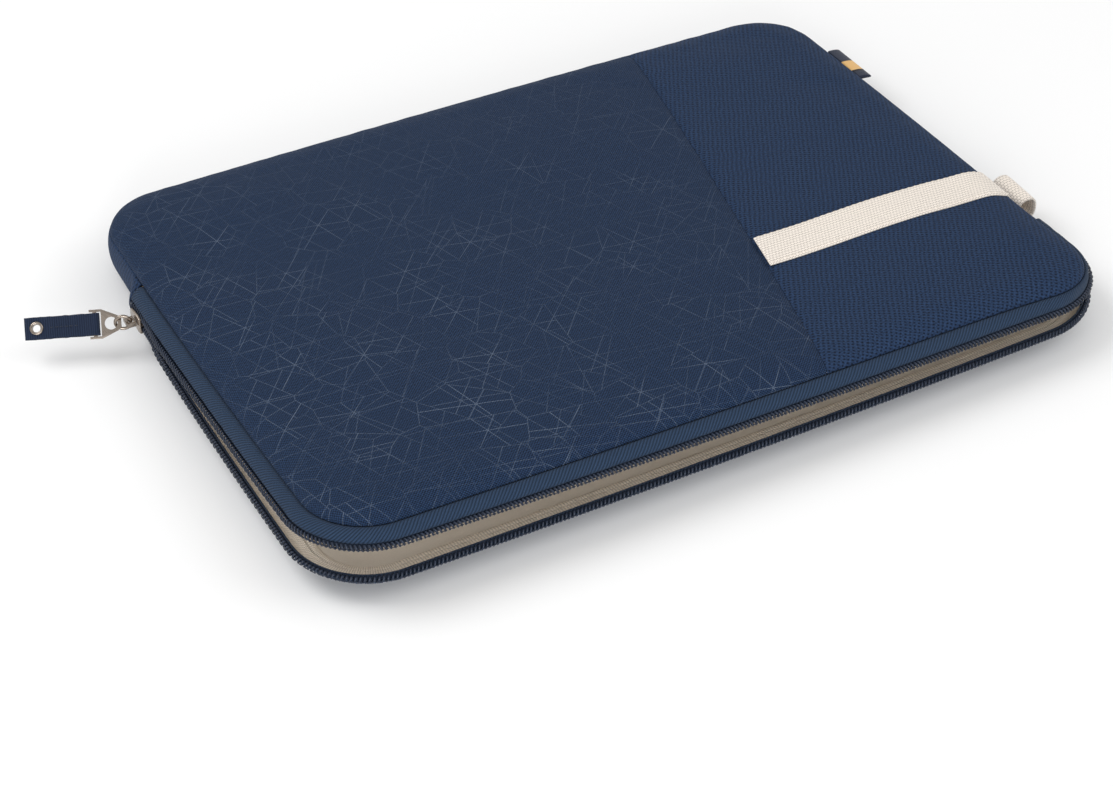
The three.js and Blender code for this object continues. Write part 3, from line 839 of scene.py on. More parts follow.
def inflatedRelief():
    # slack cloth, held along its seam and blown out; its creases are what its blurred shape leaves out
    y, halfWidth = rowsOf(outline["seamInset"], cloth["cornerRows"], cloth["sideRows"])
    u = np.linspace(-1, 1, cloth["columns"])
    x = halfWidth[:, None] * u[None]
    yy = np.repeat(y[:, None], cloth["columns"], axis=1)
    start = np.stack([x, yy, seamRise(x, yy)], axis=-1)
    faces = gridFaces(*x.shape)[0][:, ::-1]
    flat = start.reshape(-1, 3)
    sheet = makeMesh("slackCloth", flat, faces, flat[faces][:, :, :2], materials["print"])
    edge = np.zeros(x.shape, bool)
    edge[[0, -1]] = True
    edge[:, [0, -1]] = True
    held = sheet.vertex_groups.new(name="held")
    held.add(np.nonzero(edge.ravel())[0].tolist(), 1.0, "REPLACE")
    settings = sheet.modifiers.new("cloth", "CLOTH").settings
    settings.vertex_group_mass = "held"
    settings.use_pressure = True
    settings.uniform_pressure_force = cloth["pressure"]
    settings.effector_weights.gravity = 0
    settings.shrink_min = -cloth["slack"]
    settings.quality = cloth["quality"]
    settings.bending_stiffness = cloth["stiffness"]
    scene = bpy.context.scene
    for step in range(1, cloth["frames"] + 1):
        scene.frame_set(step)
    moved = sheet.evaluated_get(bpy.context.evaluated_depsgraph_get()).data
    place = np.empty(len(flat) * 3)
    moved.vertices.foreach_get("co", place)
    rise = (place.reshape(*x.shape, 3)[:, :, 2] / mm) - start[:, :, 2]
    scene.frame_set(1)
    bpy.data.objects.remove(sheet)
    creases = cloth["gain"] * (rise - blurred(rise))
    print("cloth creases, mean size", round(float(np.abs(creases).mean()), 3))
    return y, halfWidth, cloth["cap"] * np.tanh(creases / cloth["cap"])


relief = inflatedRelief()


def reliefAt(x, y):
    # bilinear reading of the relief: row from y, column from x / half width
    if relief is None:
        return 0 * x
    rowY, halfWidth, height = relief
    row = np.clip(np.interp(y, rowY, np.arange(len(rowY))), 0, len(rowY) - 1.001)
    u = np.clip(x / np.interp(y, rowY, halfWidth), -1, 1)
    column = np.clip((u + 1) / 2 * (height.shape[1] - 1), 0, height.shape[1] - 1.001)
    i, j = row.astype(int), column.astype(int)
    a, b = row - i, column - j
    return ((1 - a) * (1 - b) * height[i, j] + (1 - a) * b * height[i, j + 1]
            + a * (1 - b) * height[i + 1, j] + a * b * height[i + 1, j + 1])


def panelRise(x, y, seed, blown=True, creased=True):
    # the seam's rise, a slow puff, ripples, puckers by the seam, the blown cloth's creases, the divider
    d = np.maximum(insideDistance(x, y, outline["seamInset"]), 0)
    inner = smoothStep(d / panel["flatFrom"])
    height = seamRise(x, y) + panel["puff"] * (1 - np.exp(-d / panel["puffReach"])) * inner
    height += panel["ripple"] * inner * waves(x, y, panel["rippleLength"], seed)
    puckers = waves(x, y, panel["puckerLength"], seed + 1)
    height += panel["pucker"] * smoothStep(d / 3) * np.exp(-d / panel["puckerLength"]) * puckers
    if blown:
        height += reliefAt(x, y) * smoothStep(d / 4)
    if creased:
        away = (x - dividerAt(y)) / math.hypot(1, panel["dividerSlope"])
        height -= panel["crease"] * np.exp(-(away / panel["creaseWidth"]) ** 2) * smoothStep(d / 6)
        height -= panel["valley"] * np.exp(-(away / panel["valleyWidth"]) ** 2) * smoothStep(d / 6)
    return height


def panelGrid(left, right, columns, inset):
    # x = left + (right - left) * (1 - cos(pi u)) / 2 on each row, so columns crowd at both edges
    y, halfWidth = rowsOf(inset, panel["cornerRows"], panel["sideRows"])
    u = (1 - np.cos(np.linspace(0, math.pi, columns))) / 2
    x0 = np.maximum(left(y), -halfWidth) if left else -halfWidth
    x1 = np.minimum(right(y), halfWidth) if right else halfWidth
    x = x0[:, None] + (x1 - x0)[:, None] * u[None]
    return x, np.repeat(y[:, None], columns, axis=1)


def topPoint(x, y, height):
    # height above the upper seam of a point of the upper half, lifted
    bx, by = bowed(x, y)
    inwards = outline["seamInset"] + np.maximum(insideDistance(x, y, outline["seamInset"]), 0)
    bx, by = frontCornerPush(bx, by, inwards)
    return np.stack([bx, by, upperSeamZ + height + liftAt(bx, by)], axis=-1)


def bottomPoint(x, y, height):
    bx, by = bowed(x, y)
    return np.stack([bx, by, seamZ - height], axis=-1)


def flatUv(points):
    return points[:, :, :2].copy()


def clothUv(x, y, inset):
    # plan position moved outwards by the cloth's extra length on the rounded margin
    d = np.clip(insideDistance(x, y, inset), 0, panel["margin"])
    fine = np.linspace(0, panel["margin"], 400)
    rise = panel["rise"] * np.sqrt(1 - (1 - fine / panel["margin"]) ** 2)
    extra = np.concatenate([[0], np.cumsum(np.hypot(np.diff(fine), np.diff(rise)) - np.diff(fine))])
    spare = extra[-1] - np.interp(d, fine, extra)
    qx, qy = np.abs(x) - coreX, np.abs(y) - coreY
    corner = (qx > 0) & (qy > 0)
    size = np.maximum(np.hypot(qx, qy), 1e-6)
    ox = np.where(corner, qx / size, (qx > qy) * 1.0) * np.sign(x)
    oy = np.where(corner, qy / size, (qx <= qy) * 1.0) * np.sign(y)
    return np.stack([x + ox * spare, y + oy * spare], axis=-1)


topSeed, bottomSeed = 3, 11


def topPanel(name, left, right, columns, slot, *nodes):
    x, y = panelGrid(left, right, columns, outline["seamInset"])
    outside = topPoint(x, y, panelRise(x, y, topSeed))
    inside = topPoint(x, y, np.maximum(panelRise(x, y, topSeed) - panel["skin"], 0.05) * 0.93)
    uv = clothUv(x, y, outline["seamInset"])
    piece = shellPiece(name, outside, inside, uv, materials[slot])
    settle(piece, None, slot, *nodes)


topPanel("topPrintPanel", None, lambda y: dividerAt(y) - 0.12, panel["printColumns"], "print",
         "top_print_rear", "top_print_flap")
topPanel("topWeavePanel", lambda y: dividerAt(y) + 0.12, None, panel["weaveColumns"], "weave",
         "top_weave_rear", "top_weave_flap")


def bottomRise(x, y):
    # the same crown without creases, kept off the floor
    return np.minimum(panelRise(x, y, bottomSeed, False, False) * panel["bottomShare"], seamZ)


def bottomPanel():
    x, y = panelGrid(None, None, panel["bottomColumns"], outline["seamInset"])
    rise = bottomRise(x, y)
    outside = bottomPoint(x, y, rise)
    inside = bottomPoint(x, y, np.maximum(rise - panel["skin"], 0.05) * 0.93)
    uv = clothUv(x, y, outline["seamInset"])
    piece = shellPiece("bottomPanel", outside, inside, uv, materials["weave"])
    settle(piece, "base", "weave", "bottom_panel")


bottomPanel()

padding = {"inset": 9.0, "low": 0.85, "gap": 1.3, "edge": 3.0, "columns": 60}


def foamSheet(name, place, body, upper, *nodes):
    # a slab from a flat face up to the panel's rise less the cloth, with rounded edges
    x, y = panelGrid(None, None, padding["columns"], padding["inset"])
    d = np.maximum(insideDistance(x, y, padding["inset"]), 0)
    rise = panelRise(x, y, topSeed) if upper else bottomRise(x, y)
    top = np.maximum(rise - padding["gap"], padding["low"] + 0.1)
    middle = (top + padding["low"]) / 2
    swell = np.sqrt(1 - (1 - np.minimum(d / padding["edge"], 1)) ** 2)
    low = place(x, y, middle + (padding["low"] - middle) * swell)
    high = place(x, y, middle + (top - middle) * swell)
    piece = shellPiece(name, high, low, flatUv(high), materials["foam"])
    settle(piece, body, "foam", *nodes)


foamSheet("topFoamPad", topPoint, None, True, "top_foam_rear", "top_foam_flap")
foamSheet("bottomFoamPad", bottomPoint, "base", False, "bottom_foam")

liningSheet = {"inset": 8.3, "thick": 0.4, "ripple": 0.18}


def liningPiece(name, place, body, seed, *nodes):
    # a thin sheet at the seam's height, gently rippled
    x, y = panelGrid(None, None, 110, liningSheet["inset"])
    d = np.maximum(insideDistance(x, y, liningSheet["inset"]), 0)
    sag = liningSheet["ripple"] * waves(x, y, 34, seed) * smoothStep(d / 14)
    face = place(x, y, 0.1 + 0.12 * smoothStep(d / 8) + sag * 0.5)
    back = place(x, y, 0.1 + 0.12 * smoothStep(d / 8) + sag * 0.5 + liningSheet["thick"])
    piece = shellPiece(name, face, back, flatUv(face), materials["lining"])
    settle(piece, body, "lining", *nodes)


liningPiece("topLining", topPoint, None, 21, "top_lining_rear", "top_lining_flap")
liningPiece("bottomLining", bottomPoint, "base", 23, "bottom_lining")
print("panels made")

zipSide = {
    "step": 2.2,
    "blendLength": 75.0,
    "closedGap": 0.4,
    "coilTip": 6.8,
    "bandStartLeft": -0.9,  # from the left zip end, along Y
    "bandStartRight": -0.9,
    "coilCentre": 5.35,
    "coilInwards": 0.5,
    "coilOutwards": 1.0,  # further out than at the slider
    "coilHalfDeep": 0.8,
    "coilHalfHigh": 1.25,
    "coilWire": 0.46,
    "coilPitch": 1.7,
    "coilLean": 0.22,
    "coilPointsPerTurn": 11,
    "coilWireSides": 5,
}
fullStretch = (mouthHeight / 2 - zipSide["closedGap"] / 2) / zipSide["coilTip"]


def zipStretch(x, y):
    # near a zip end the side pieces stretch so that the two coils meet; 1 elsewhere
    endY = np.where(x < 0, zipEndLeft, zipEndRight)
    away = np.hypot(np.abs(x) - halfX, y - endY)
    return 1 + (fullStretch - 1) * (1 - smoothStep(away / zipSide["blendLength"]))


def zipPoint(along, inwards, up, upper):
    # a point of a zip side: up runs from the panel seam towards the chain
    x, y = rimPoint(along, inwards)
    if upper:
        x, y = frontCornerPush(x, y, inwards)
    stretched = up * zipStretch(x, y)
    z = upperSeamZ + liftAt(x, y) - stretched if upper else seamZ + stretched
    return np.stack([x, y, z + 0 * x], axis=-1)


def zipPlaces(yLeft, yRight, step):
    start, end = leftAt(yLeft), rightAt(yRight)
    return np.linspace(start, end, int((end - start) / step) + 1)


def roundSection(points, count):
    # closed Catmull-Rom curve through the points, evenly resampled
    p = np.array(points, float)
    fine = []
    for k in range(len(p)):
        a, b, c, d = p[k - 1], p[k], p[(k + 1) % len(p)], p[(k + 2) % len(p)]
        t = np.linspace(0, 1, 12, endpoint=False)[:, None]
        fine.append(0.5 * ((2 * b) + (c - a) * t + (2 * a - 5 * b + 4 * c - d) * t ** 2
                           + (3 * b - a - 3 * c + d) * t ** 3))
    fine = np.concatenate(fine + [p[:1]])
    length = np.concatenate([[0], np.cumsum(np.linalg.norm(np.diff(fine, axis=0), axis=1))])
    at = np.linspace(0, length[-1], count, endpoint=False)
    return np.stack([np.interp(at, length, fine[:, 0]), np.interp(at, length, fine[:, 1])], 1), at


def sliderClear(s):
    # 0 inside the slider, rising to 1 from 8 to 22 mm along the zip
    post = boxOf("slider_post")
    return smoothStep((np.abs(s - leftAt((post[0][1] + post[1][1]) / 2)) - 8) / 14)


def coilPlace(s):
    # how far inside the outline the coil's middle runs: drawn in at the slider, further out elsewhere
    return zipSide["coilInwards"] - zipSide["coilOutwards"] * sliderClear(s)


def zipStrip(name, section, count, yLeft, yRight, upper, slot, *nodes, ripple=0.0, seed=5, narrowed=0.0):
    profile, across = roundSection(section, count)
    along = zipPlaces(yLeft, yRight, zipSide["step"])
    s, inwards = np.meshgrid(along, profile[:, 0], indexing="ij")
    _, up = np.meshgrid(along, profile[:, 1], indexing="ij")
    up = up - narrowed * (1 - sliderClear(s)) * (up > 5)
    if ripple:
        inwards = inwards + ripple * waves(s, up * 0, 9, seed) * np.sin(np.clip(up / 4.4, 0, 1) * math.pi)
    rings = zipPoint(s, inwards, up, upper)
    piece = sweptPiece(name, rings, across, along, materials[slot])
    settle(piece, "flap" if upper else "base", slot, *nodes)


# closed sections: distance inside the outline, then distance from the panel seam towards the chain
bandSection = [(8.1, 1.0), (7.2, 0.7), (6.5, 0.5), (6.0, 0.15), (5.2, -0.1), (3.9, 0.05), (2.4, 0.75),
               (1.2, 1.9), (0.45, 3.1), (0.4, 3.9), (1.1, 4.2), (1.6, 3.4), (3.3, 2.2), (5.4, 1.6),
               (7.6, 1.5)]
tapeSection = [(0.8, 3.7), (0.7, 4.6), (0.7, 6.7), (1.25, 6.7), (1.4, 4.6), (1.45, 3.7)]
facingSection = [(7.6, 1.6), (5.6, 1.8), (3.6, 2.5), (2.1, 3.7), (1.8, 4.7), (2.2, 4.9),
                 (2.7, 4.0), (4.1, 2.9), (5.9, 2.2), (8.0, 1.9), (8.4, 1.5)]
rollSection = [(8.5, 0.35), (8.4, 0.9), (9.0, 1.35), (10.2, 1.35), (11.4, 0.9), (11.6, 0.45), (10.2, 0.25)]

for upper in (False, True):
    half = "upper" if upper else "lower"
    left = zipEndLeft + zipSide["bandStartLeft"]
    right = zipEndRight + zipSide["bandStartRight"]
    sliderEnd = boxOf("slider_outer_plate")[1][1]
    zipStrip(half + "Band", bandSection, 30, left, right, upper, "band", half + "_zip_band", ripple=0.16,
             seed=31 + upper)
    zipStrip(half + "Tape", tapeSection, 14, sliderEnd + 2.6, right - 1.5, upper, "tape", half + "_zip_tape",
             narrowed=1.1)
    zipStrip(half + "Facing", facingSection, 26, left - 1.0, right - 1.0, upper, "binding",
             ripple=0.1, seed=41)
    zipStrip(half + "Binding", rollSection, 16, left - 1.5, right - 1.5, upper, "binding", half + "_binding",
             ripple=0.12, seed=43)


def coilHelix(name, upper, node):
    # helix round the tape's edge: centre + (a cos t, b sin t), t = 2 pi s / pitch, as a five-sided wire
    turns = int((rightAt(zipEndRight - 4) - leftAt(zipEndLeft - 1.5)) / zipSide["coilPitch"])
    perTurn, sides = zipSide["coilPointsPerTurn"], zipSide["coilWireSides"]
    t = np.linspace(0, turns * 2 * math.pi, turns * perTurn + 1)
    s = leftAt(zipEndLeft - 1.5) + t / (2 * math.pi) * zipSide["coilPitch"]
    lean = zipSide["coilLean"] * np.sin(t + 0.6)
    centreIn = coilPlace(s) - zipSide["coilHalfDeep"] * np.cos(t)
    centreUp = zipSide["coilCentre"] + zipSide["coilHalfHigh"] * np.sin(t)
    a = np.arange(sides) * 2 * math.pi / sides
    wire = zipSide["coilWire"]
    radialIn, radialUp = -np.cos(t), np.sin(t)
    ringIn = centreIn[:, None] + wire * np.cos(a)[None] * radialIn[:, None]
    ringUp = centreUp[:, None] + wire * np.cos(a)[None] * radialUp[:, None]
    ringS = (s + lean)[:, None] + wire * np.sin(a)[None]
    rings = zipPoint(ringS, ringIn, ringUp, upper)
    piece = sweptPiece(name, rings, a * wire, s, materials["coil"])
    settle(piece, "flap" if upper else "base", "coil", node)


coilHelix("lowerCoilTeeth", False, "lower_coil")
coilHelix("upperCoilTeeth", True, "upper_coil")

stitching = {"length": 2.7, "gap": 0.7, "radius": 0.2}
for upper in (False, True):
    # the thread that holds the coil, along the middle of its outer face
    along = zipPlaces(sliderEnd - 22, zipEndRight - 5, 1.0)
    face = coilPlace(along) - zipSide["coilHalfDeep"] - zipSide["coilWire"]
    middleUp = np.full(len(along), zipSide["coilCentre"])
    row = zipPoint(along, face, middleUp, upper)
    outer = zipPoint(along, face - 1, middleUp, upper)
    half = "upper" if upper else "lower"
    stitches = stitchRow(half + "TapeStitches", row, outer - row, **stitching, material=materials["thread"])
    settle(stitches, "flap" if upper else "base", "thread")

side = {"wall": 1.1, "step": 2.0, "bulgeRight": 4.6, "bulgeLeft": 1.4, "bulgeAtEnds": 6.5, "endLength": 13}


def gussetStrip(name, edgeInset, wall, slot, start, end, *nodes):
    # section closed round a wall that bulges by bulge * sin(pi t)^0.6, t from the lower to the upper seam;
    # it swells to meet the bands at both zip ends
    t = np.linspace(0.012, 0.988, 22)
    along = np.linspace(start, end, int((end - start) / side["step"]) + 1)
    fade = smoothStep((along - start) / (end - start) / 0.8)
    bulge = side["bulgeRight"] + (side["bulgeLeft"] - side["bulgeRight"]) * fade
    nearEnd = 1 - smoothStep(np.minimum(along - start, end - along) / side["endLength"])
    bulge = bulge + (side["bulgeAtEnds"] - bulge) * nearEnd
    shape = np.sin(t * math.pi) ** 0.6
    outer = edgeInset - bulge[:, None] * shape[None]
    inwards = np.concatenate([outer, (outer + wall)[:, ::-1]], axis=1)
    profileT = np.concatenate([t, t[::-1]])
    s, share = np.meshgrid(along, profileT, indexing="ij")
    inwards = inwards + 0.3 * waves(s, share * 14, 40, 51) * np.sin(share * math.pi)
    x, y = rimPoint(s, inwards)
    ex, ey = rimPoint(s, inwards * 0)
    z = seamZ + share * (mouthHeight + liftAt(ex, ey))
    rings = np.stack([x, y, z], axis=-1)
    across = np.concatenate([t * mouthHeight, (2 - t[::-1]) * mouthHeight])
    piece = sweptPiece(name, rings, across, along, materials[slot])
    settle(piece, "base", slot, *nodes)


gussetStart = rightAt(zipEndRight + 0.2)
gussetEnd = rimTotal + leftAt(zipEndLeft + 0.2)
gussetStrip("rearSideWall", 6.3, side["wall"], "weave", gussetStart, gussetEnd, "rear_gusset")
gussetStrip("sideWallLining", 7.9, 0.45, "lining", gussetStart + 1, gussetEnd - 1, "gusset_lining")
print("zip sides made")

strap = {"centre": -50.6, "width": 20.6, "thick": 0.75, "proud": 0.3, "rows": 26, "columns": 90}
strapStitch = {"length": 2.4, "gap": 0.8, "radius": 0.17}


def strapPiece():
    # across rows of constant y, from the divider to the right seam, offset along the panel's normal
    y = strap["centre"] + np.linspace(-0.5, 0.5, strap["rows"]) * strap["width"]
    rightEdge = coreX + outline["cornerRadius"] - outline["seamInset"]
    u = (1 - np.cos(np.linspace(0, math.pi, strap["columns"]))) / 2
    x0 = dividerAt(y) + 0.5
    x = x0[:, None] + (rightEdge - x0)[:, None] * u[None]
    yy = np.repeat(y[:, None], strap["columns"], axis=1)
    surface = topPoint(x, yy, panelRise(x, yy, topSeed, True, False))
    normal = -normalsOf(surface)
    ends = np.minimum(u, 1 - u) / 0.012
    edges = np.minimum(np.arange(strap["rows"]), np.arange(strap["rows"])[::-1])
    soft = np.clip(np.minimum(ends[None] * 0.5 + 0.5, edges[:, None] * 0.4 + 0.55), 0, 1)
    outside = surface + normal * (strap["proud"] + strap["thick"] * soft)[:, :, None]
    inside = surface + normal * 0.12
    uv = np.stack([x, yy], axis=-1)
    piece = shellPiece("accentStrap", outside, inside, uv, materials["webbing"])
    settle(piece, None, "webbing", "strap_rear", "strap_flap")
    for edge, row in (("Front", 1), ("Back", strap["rows"] - 2)):
        path = (outside[row] + (outside[row + 1] - outside[row]) * 0.6)[2:-3]
        stitches = stitchRow("strapStitches" + edge, path, normal[row][2:-3], **strapStitch,
                             material=materials["paleThread"])
        settle(stitches, None, "paleThread")


strapPiece()

loop = {"thick": 1.15, "points": 64, "power": 2.5}


def sideLoop():
    # webbing turned into an eye: |x/a|^p + |z/b|^p = 1, its section a flat band
    inner, outer = loopLow - [1.5, 0, 0], loopHigh - [2.2, 0, 0]
    centre = (inner + outer) / 2
    half = (outer - inner) / 2 - np.array([loop["thick"] / 2 + 0.05, 0.3, loop["thick"] / 2 + 0.05])
    a = np.arange(loop["points"]) * 2 * math.pi / loop["points"]
    c, s = np.cos(a), np.sin(a)
    px = centre[0] + half[0] * np.sign(c) * np.abs(c) ** (2 / loop["power"])
    pz = centre[2] + half[2] * np.sign(s) * np.abs(s) ** (2 / loop["power"])
    nx, nz = c / half[0], s / half[2]
    size = np.hypot(nx, nz)
    nx, nz = nx / size, nz / size
    y = np.linspace(-1, 1, 14)
    edge = 1 - 0.35 * np.abs(y) ** 12
    sectionY = np.concatenate([y, y[::-1]]) * half[1]
    sectionN = np.concatenate([edge, -edge[::-1]]) * loop["thick"] / 2
    rings = np.stack([px[:, None] + nx[:, None] * sectionN, centre[1] + sectionY + 0 * px[:, None],
                      pz[:, None] + nz[:, None] * sectionN], axis=-1)
    along = np.concatenate([[0], np.cumsum(np.hypot(np.diff(px), np.diff(pz)))])
    piece = sweptPiece("sideWebbingLoop", rings, np.concatenate([sectionY[:14], sectionY[14:] + 43]), along,
                       materials["webbing"], closedPath=True)
    settle(piece, "base", "webbing", "side_loop")


sideLoop()


def sideLabel():
    # a folded tab: two layers meeting in a round outer fold, from the upper seam outwards
    low, high = boxOf("side_label")
    y = np.linspace(low[1] + 0.2, high[1] - 0.2, 30)
    reach = (high[0] - low[0]) * labelLook["reach"]
    u = np.linspace(0, 1, 16)
    thick = 0.75 * np.sqrt(np.clip(1 - ((u - 0.25) / 0.78) ** 4, 0.02, 1))
    x = low[0] + reach * u
    z = upperSeamZ - 0.15 + liftAt(halfX, y)
    droop = -0.9 * u ** 2
    yy, xx = np.meshgrid(y, x, indexing="ij")
    outside = np.stack([xx, yy, z[:, None] + (droop + thick)[None]], -1)
    inside = np.stack([xx, yy, z[:, None] + (droop - thick)[None]], -1)
    uv = np.stack([yy - low[1], xx], -1)
    piece = shellPiece("sideLabelTab", outside, inside, uv, materials["label"])
    settle(piece, "base", "label", "side_label")


sideLabel()
print("trim made")

pivot = np.array(swing["pos_m"]) / mm
ringCentre = np.array(tilt["pos_m"]) / mm
barCentre = np.array(tabTilt["pos_m"]) / mm
pullX = (pivot - ringCentre) / np.linalg.norm(pivot - ringCentre)
ringAxes = (pullX, np.cross([0, 0, 1], pullX), np.array([0.0, 0.0, 1.0]))
pullY = np.array(tabTilt["axis"])
pullAxes = (pullX, pullY, np.cross(pullX, pullY))


def pullPoint(x, y, z, origin, axes=pullAxes):
    # x back towards the slider, y along the bar, z out of the flat side
    return origin + x[..., None] * axes[0] + y[..., None] * axes[1] + z[..., None] * axes[2]


def polishedCopy(name, node, width, body):
    # the CAD solid itself, merged, with its sharp edges rounded
    source = frame["nodes"][node]
    piece = newObject(name, source.data.copy())
    shell = bmesh.new()
    shell.from_mesh(piece.data)
    bmesh.ops.remove_doubles(shell, verts=shell.verts, dist=1e-6)
    bmesh.ops.dissolve_limit(shell, angle_limit=0.02, verts=shell.verts, edges=shell.edges)
    shell.to_mesh(piece.data)
    shell.free()
    piece.data.materials.clear()
    piece.data.materials.append(materials["metal"])
    for polygon in piece.data.polygons:
        polygon.use_smooth = True
    bevel = piece.modifiers.new("roundedEdges", "BEVEL")
    bevel.width = width * mm
    bevel.segments = 3
    bevel.limit_method = "ANGLE"
    bevel.angle_limit = math.radians(28)
    bevel.harden_normals = True
    settle(piece, body, "metal", node)


polishedCopy("sliderOuterPlate", "slider_outer_plate", 0.35, "slider")
polishedCopy("sliderInnerPlate", "slider_inner_plate", 0.3, "slider")
polishedCopy("sliderPost", "slider_post", 0.15, "slider")
polishedCopy("sliderBridge", "slider_bridge", 0.4, "slider")
polishedCopy("pullPlate", "pull_plate", 0.32, "pull_plate")

ringSet = {"wire": 0.7, "around": 56, "sides": 16}


def ringLink():
    # torus in the upright plane through the pull: centre + (R + r cos b) (cos a, sin a) + r sin b
    radius = np.linalg.norm(ringCentre - pivot)
    stepA, stepB = np.arange(ringSet["around"]), np.arange(ringSet["sides"])
    a, b = np.meshgrid(stepA * 2 * math.pi / len(stepA), stepB * 2 * math.pi / len(stepB), indexing="ij")
    reach = radius + ringSet["wire"] * np.cos(b)
    rings = pullPoint(reach * np.cos(a), ringSet["wire"] * np.sin(b), reach * np.sin(a), ringCentre, ringAxes)
    piece = sweptPiece("pullRingLink", rings, stepB * 0.3, stepA * 0.5, materials["metal"], closedPath=True)
    settle(piece, "pull_ring", "metal", "pull_ring")


ringLink()

tab = {
    "width": 9.4, "length": 29.3, "thick": 2.0, "turn": 1.3, "wallAtBar": 0.75, "bore": 2.35,
    "columns": 40, "crimp": 0.12,
}
tabStitch = {"length": 1.5, "gap": 0.5, "radius": 0.2}


def pullTab():
    # section along the pull: round the bar, then two layers together to the far end, width along the bar
    half = tab["thick"] / 2
    around = np.linspace(-0.72 * math.pi, 0.72 * math.pi, 24)
    outer = tab["turn"] + tab["wallAtBar"]
    bend = np.stack([outer * np.cos(around), outer * np.sin(around)], 1)
    taper = np.linspace(0, 1, 8)[1:]
    topX = bend[-1, 0] + (-5.5 - bend[-1, 0]) * taper
    topZ = bend[-1, 1] + (half - bend[-1, 1]) * smoothStep(taper)
    flatX = np.linspace(-5.5, -tab["length"] + 0.5, 40)[1:]
    crimp = tab["crimp"] * np.sin(flatX * 1.35)
    upperSide = np.concatenate([np.stack([topX, topZ], 1), np.stack([flatX, half + crimp], 1)])
    tip = np.array([[-tab["length"], half - 0.4], [-tab["length"], -half + 0.4]])
    section = np.concatenate([bend, upperSide, tip, (upperSide * [1, -1])[::-1]])
    y = np.linspace(-1, 1, tab["columns"])
    wavy = 1 + 0.012 * waves(section[:, 0][None] + 0 * y[:, None], 0 * y[:, None], 4.5, 61)
    yy = y[:, None] * tab["width"] / 2 * wavy
    flatten = 1 - 0.28 * np.abs(y) ** 10
    x = section[:, 0][None] + 0 * yy
    z = section[:, 1][None] * flatten[:, None]
    rings = pullPoint(x, yy, z, barCentre)
    length = np.concatenate([[0], np.cumsum(np.linalg.norm(np.diff(section, axis=0), axis=1))])
    n, m = rings.shape[:2]
    faces, i, j = gridFaces(n, m, closedColumns=True)
    # uv: along the webbing, then across it
    lengthWrap = np.concatenate([length, [length[-1] + 1.5]])
    width = y * tab["width"] / 2
    corners = [(0, 0), (0, 1), (1, 1), (1, 0)]
    uv = np.stack([np.stack([lengthWrap[j + dj], width[i + di]], 1) for dj, di in corners], 1)
    piece = makeMesh("pullWebbingTab", rings.reshape(-1, 3), faces, uv, materials["pull"])
    capEnds(piece, n, m)
    flipToOutside(piece)
    middles = [(boxOf(node)[0] + boxOf(node)[1]) / 2 for node in ("eyelet_top", "eyelet_bottom")]
    eyelet = (middles[0] + middles[1]) / 2
    cutHole(piece, eyelet, pullAxes[2], tab["bore"])
    cutHole(piece, barCentre, pullAxes[1], tab["turn"])
    settle(piece, "pull_tab", "pull", "pull_webbing")
    return eyelet


def cutHole(piece, centre, direction, radius):
    # subtracts a long cylinder through the centre along the direction
    cutter = bpy.data.meshes.new("cutter")
    shape = bmesh.new()
    turned = Vector((0, 0, 1)).rotation_difference(Vector(direction)).to_matrix().to_4x4()
    matrix = Matrix.Translation(Vector(centre) * mm) @ turned
    bmesh.ops.create_cone(shape, cap_ends=True, segments=40, radius1=radius * mm, radius2=radius * mm,
                          depth=30 * mm, matrix=matrix)
    shape.to_mesh(cutter)
    shape.free()
    tool = newObject("cutter", cutter)
    boolean = piece.modifiers.new("hole", "BOOLEAN")
    boolean.operation = "DIFFERENCE"
    boolean.solver = "EXACT"
    boolean.object = tool
    bpy.context.view_layer.update()
    cut = bpy.data.meshes.new_from_object(piece.evaluated_get(bpy.context.evaluated_depsgraph_get()))
    piece.modifiers.clear()
    old = piece.data
    piece.data = cut
    bpy.data.meshes.remove(old)
    bpy.data.objects.remove(tool)
    bpy.data.meshes.remove(cutter)


eyeletCentre = pullTab()

eyeletSteps = 48


def eyeletHalf(name, facing, node):
    # profile (r, z) turned about the eyelet's own axis: a barrel and a domed flange
    r = np.array([1.68, 2.2, 2.25, 2.6, 2.78, 2.84, 2.74, 2.4, 2.05, 1.78, 1.68])
    z = np.array([0.12, 0.12, 1.14, 1.14, 1.17, 1.36, 1.55, 1.72, 1.72, 1.58, 1.35])
    a = np.arange(eyeletSteps) * 2 * math.pi / eyeletSteps
    height = facing * z[None] + 0 * a[:, None]
    rings = pullPoint(np.cos(a)[:, None] * r, np.sin(a)[:, None] * r, height, eyeletCentre)
    piece = sweptPiece(name, rings, np.arange(len(r)) * 0.5, a * 3, materials["metal"], closedPath=True)
    settle(piece, "pull_tab", "metal", node)


eyeletHalf("eyeletTop", 1, "eyelet_top")
eyeletHalf("eyeletBottom", -1, "eyelet_bottom")

along = np.linspace(-6.5, -tab["length"] + 9.5, 40)
for name, facing in (("tabStitchesTop", 1), ("tabStitchesBottom", -1)):
    row = pullPoint(along, 0 * along, 0 * along + facing * (tab["thick"] / 2 + 0.08), barCentre)
    outwards = np.repeat(pullAxes[2][None] * facing, len(along), axis=0)
    stitches = stitchRow(name, row, outwards, **tabStitch, material=materials["thread"])
    settle(stitches, "pull_tab", "thread")

for node in ("left_end_stop", "right_end_stop"):
    stop = frame["nodes"][node]
    stop.data.materials.clear()
    stop.data.materials.append(materials["stop"])
print("slider and pull made")

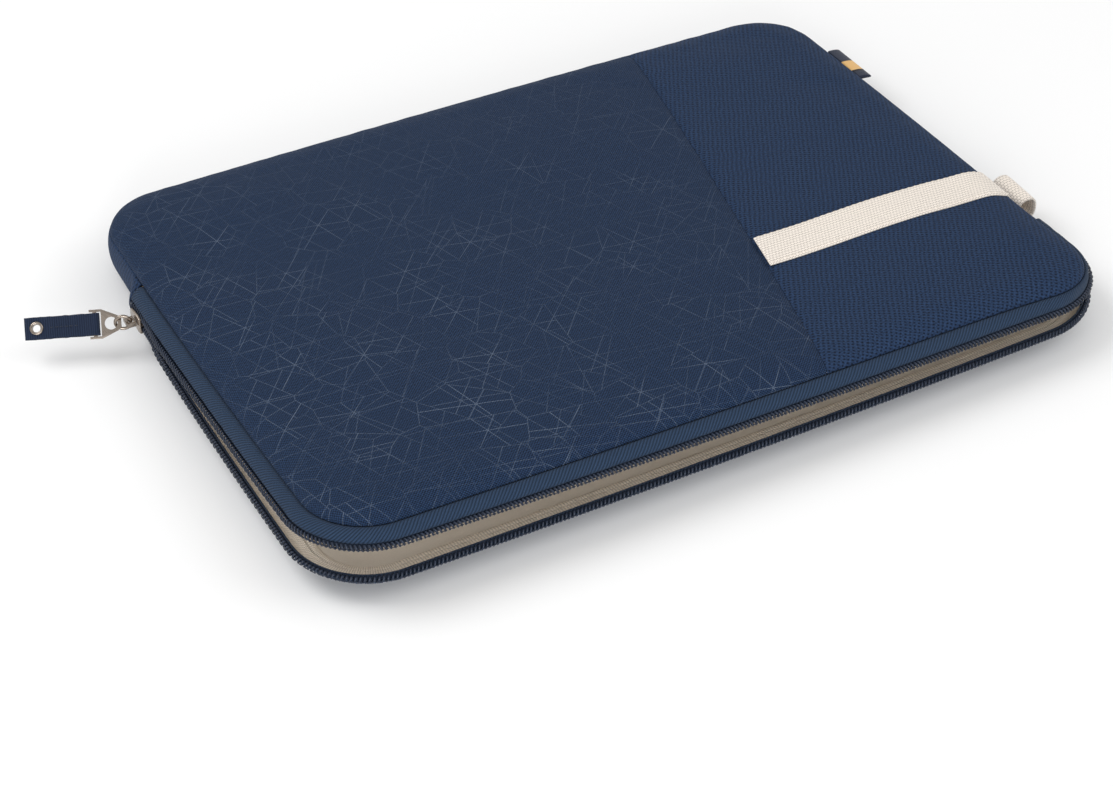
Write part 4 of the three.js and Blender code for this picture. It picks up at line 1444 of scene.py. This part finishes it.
view = {
    "place": (-431.24, -800.81, 707.24),
    "forward": (0.35246, 0.67815, -0.64489),
    "right": (0.88299, -0.46926, -0.01086),
    "lens": 85.45,
}
stage = {"reach": 25000.0, "rows": 21, "drop": 0.15}


def makeStage():
    # a flat floor just under the base
    u = np.linspace(-stage["reach"], stage["reach"], stage["rows"])
    x, y = np.meshgrid(u, u, indexing="ij")
    points = np.stack([x, y, 0 * x - stage["drop"]], axis=-1)
    faces, _, _ = gridFaces(stage["rows"], stage["rows"])
    material, tree, shader, uv = startMaterial("paleFloor", 0.9)
    tone = mixColour(tree, cloudy(tree, uv, 0.002, 2.0), (0.9, 0.9, 0.9, 1), (0.92, 0.92, 0.92, 1))
    paint(tree, shader, tone)
    flat = points.reshape(-1, 3)
    floor = makeMesh("studioFloor", flat, faces, flat[faces][:, :, :2], material)


makeStage()


def areaLight(name, place, size, power):
    data = bpy.data.lights.new(name, "AREA")
    data.shape = "DISK"
    data.size = size
    data.energy = power
    lamp = newObject(name, data)
    lamp.location = place
    lamp.rotation_euler = (-Vector(place)).to_track_quat("-Z", "Y").to_euler()


# name, place and diameter in metres, watts
areaLight("keySoftbox", (-0.9, 0.7, 1.5), 1.2, 13)
areaLight("fillSoftbox", (1.3, -0.9, 1.3), 1.4, 7)
areaLight("frontSoftbox", (-0.7, -1.6, 0.4), 1.0, 16)

world = bpy.data.worlds.new("studioWorld")
bpy.context.scene.world = world
world.use_nodes = True
world.node_tree.nodes["Background"].inputs["Color"].default_value = (1, 1, 1, 1)
world.node_tree.nodes["Background"].inputs["Strength"].default_value = 0.68

cameraData = bpy.data.cameras.new("sleeveCamera")
cameraData.lens = view["lens"]
cameraData.sensor_width = 36
cameraData.clip_end = 80
camera = newObject("sleeveCamera", cameraData)
forward = Vector(view["forward"]).normalized()
rightward = Vector(view["right"]).normalized()
upward = rightward.cross(forward)
turn = Matrix((rightward, upward, -forward)).transposed()
bpy.context.scene.view_settings.view_transform = "Standard"
camera.matrix_world = Matrix.Translation(Vector(view["place"]) * mm) @ turn.to_4x4()
bpy.context.scene.camera = camera
print("stage, lights and camera made")
